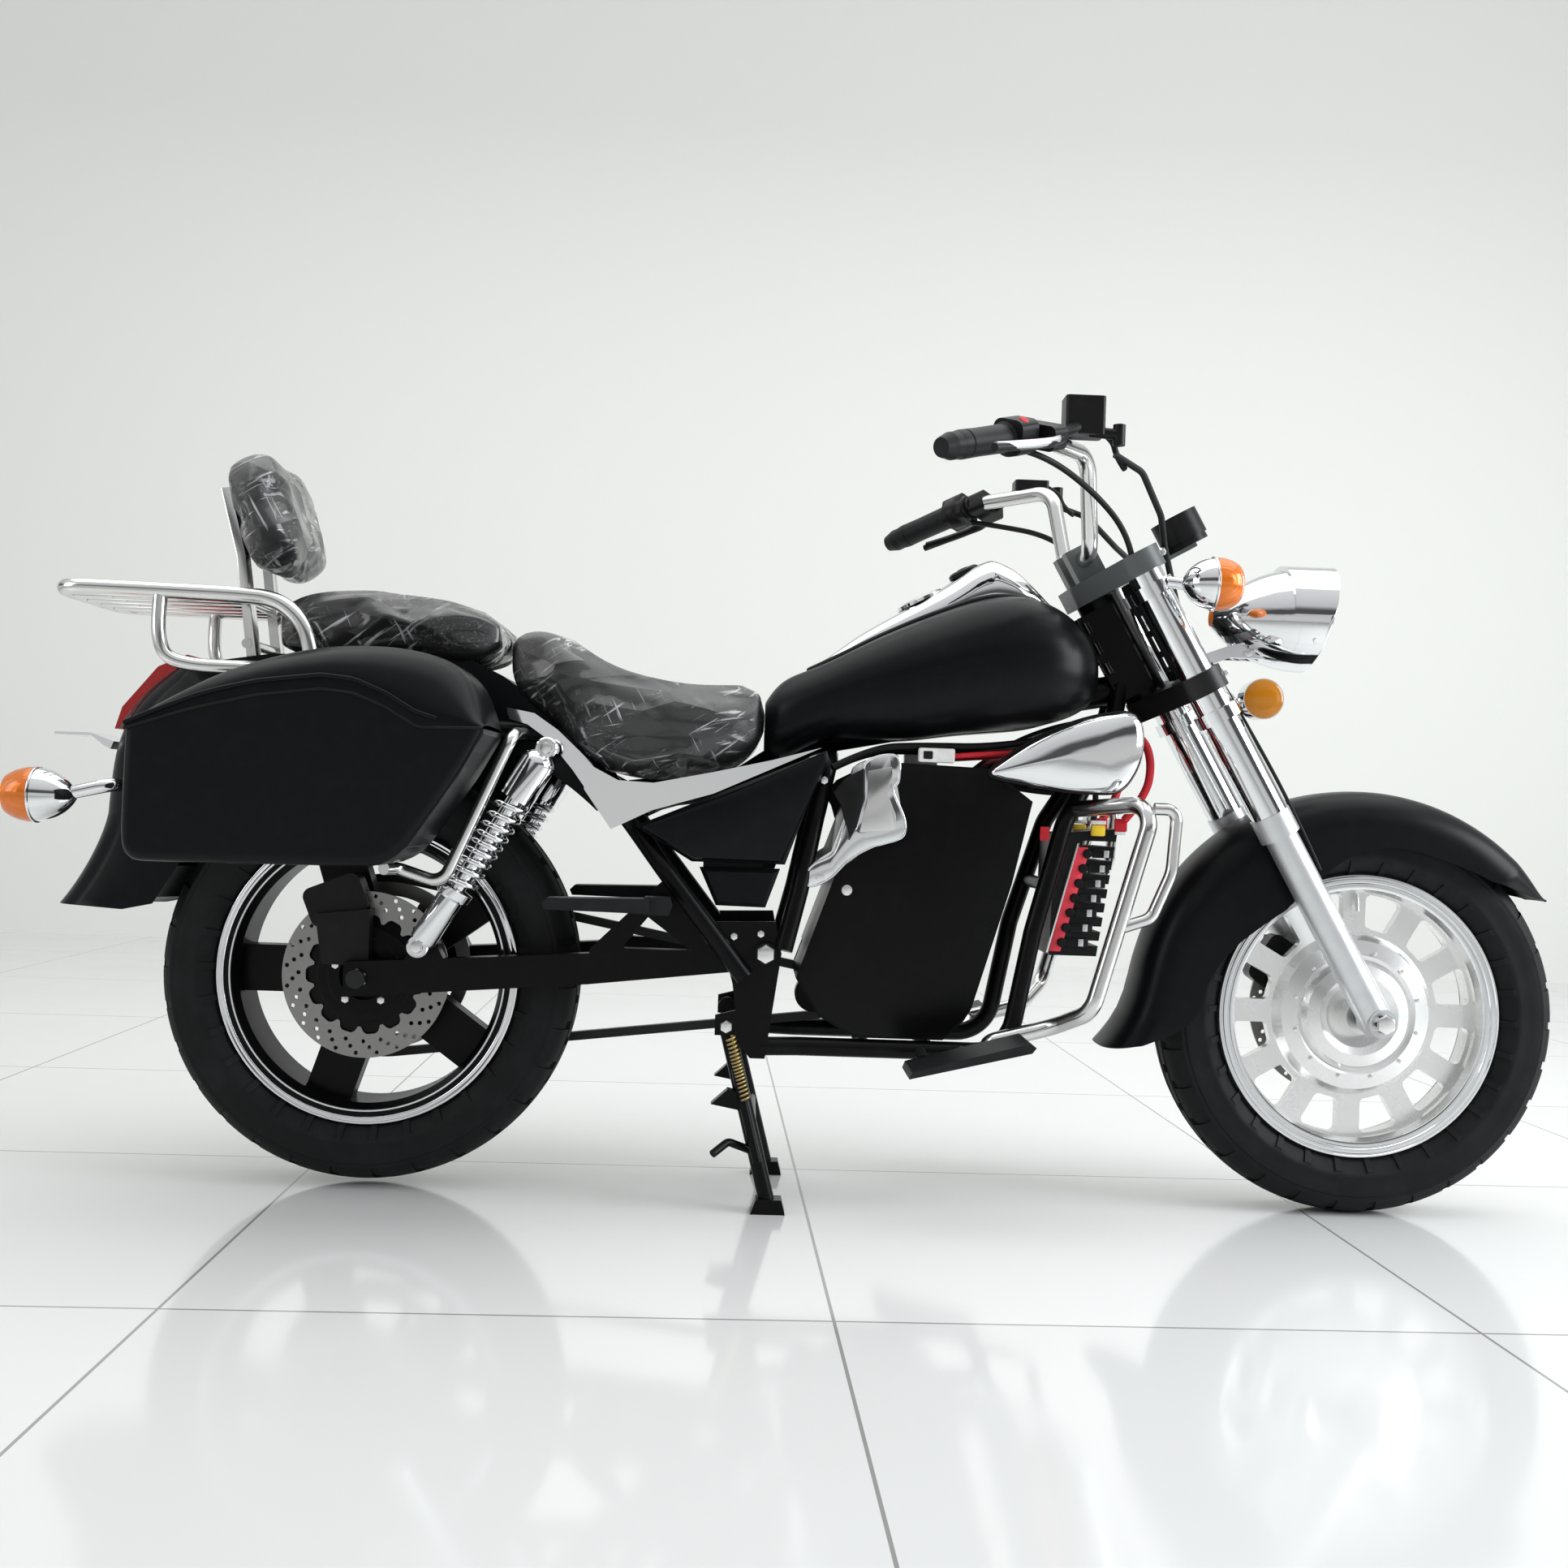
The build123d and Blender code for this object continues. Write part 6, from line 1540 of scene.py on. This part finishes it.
# ten tiles over, so that the pattern's own corner lies off the floor, and then into line
lay = tree.nodes.new("ShaderNodeMapping")
lay.inputs["Rotation"].default_value = (0, 0, math.radians(-1.6))
lay.inputs["Location"].default_value = (10 * TILE - 0.001, 10 * TILE + 0.6255, 0)
tree.links.new(object_point(tree), lay.inputs["Vector"])
tree.links.new(lay.outputs["Vector"], joints.inputs["Vector"])
tree.links.new(joints.outputs["Color"], shader.inputs["Base Color"])
tree.links.new(ramp(tree, noise(tree, 2.0), 0.06, 0.14), shader.inputs["Roughness"])
wall_paint, _, shader = new_finish("wall_paint", (0.66, 0.665, 0.64), 0.8,
                                   Emission_Strength=0.15)
shader.inputs["Emission Color"].default_value = (0.97, 1.0, 0.97, 1)
stage_plane("floor", 16.0, Vector((0, 1.0, 0)), Matrix.Identity(3), tile)
stage_plane("wall", 16.0, Vector((0, 3.9, 5.0)), Matrix.Rotation(math.radians(90), 3, "X"),
            wall_paint)
tell("stage:")

# %% [markdown]
# ## Lamps and room
# Area lamps above and beyond both ends of the machine are all large and soft, as a hall with
# windows gives. Chrome shows what stands round it, so the room is a ramp by height: bright
# up to the horizon, a dark band above it that gives the plating its contrast, then bright.

# %% Lamps and room
def area_lamp(name, place, target, size, power, colour=(1, 1, 1)):
    lamp = bpy.data.lights.new(name, "AREA")
    lamp.shape, lamp.size, lamp.size_y = "RECTANGLE", size[0], size[1]
    lamp.energy, lamp.color = power, colour
    made = bpy.data.objects.new(name, lamp)
    scene.collection.objects.link(made)
    made.location = place
    made.rotation_euler = (Vector(target) - Vector(place)).to_track_quat("-Z", "Y").to_euler()


area_lamp("ceiling", (0, 0.4, 3.6), (0, 0.2, 0.4), (6.0, 3.4), 96)
area_lamp("window_right", (4.2, -1.2, 1.9), (0.9, 0.2, 0.5), (2.4, 2.4), 165, (0.93, 0.97, 1.0))
area_lamp("window_left", (-3.6, -1.6, 1.8), (-0.2, 0, 0.5), (1.6, 1.8), 26)
world = bpy.data.worlds.new("room") if scene.world is None else scene.world
scene.world = world
world.use_nodes = True
sky = world.node_tree
direction = sky.nodes.new("ShaderNodeTexCoord")
heights = sky.nodes.new("ShaderNodeSeparateXYZ")
sky.links.new(direction.outputs["Generated"], heights.inputs["Vector"])
band = sky.nodes.new("ShaderNodeValToRGB")
band.color_ramp.elements[0].position, band.color_ramp.elements[1].position = 0.0, 1.0
band.color_ramp.elements[0].color = (0.7, 0.71, 0.7, 1)
band.color_ramp.elements[1].color = (0.98, 1.0, 1.0, 1)
for place, shade in ((0.1, 0.62), (0.15, 0.09), (0.3, 0.1), (0.42, 0.66)):  # the dark band
    band.color_ramp.elements.new(place).color = (shade, shade, 1.03 * shade, 1)
sky.links.new(heights.outputs["Z"], band.inputs["Fac"])
sky.links.new(band.outputs["Color"], sky.nodes["Background"].inputs["Color"])
sky.nodes["Background"].inputs["Strength"].default_value = 0.9
scene.view_settings.view_transform = "Standard"
print("lamps", [(lamp.name, round(lamp.energy)) for lamp in bpy.data.lights])
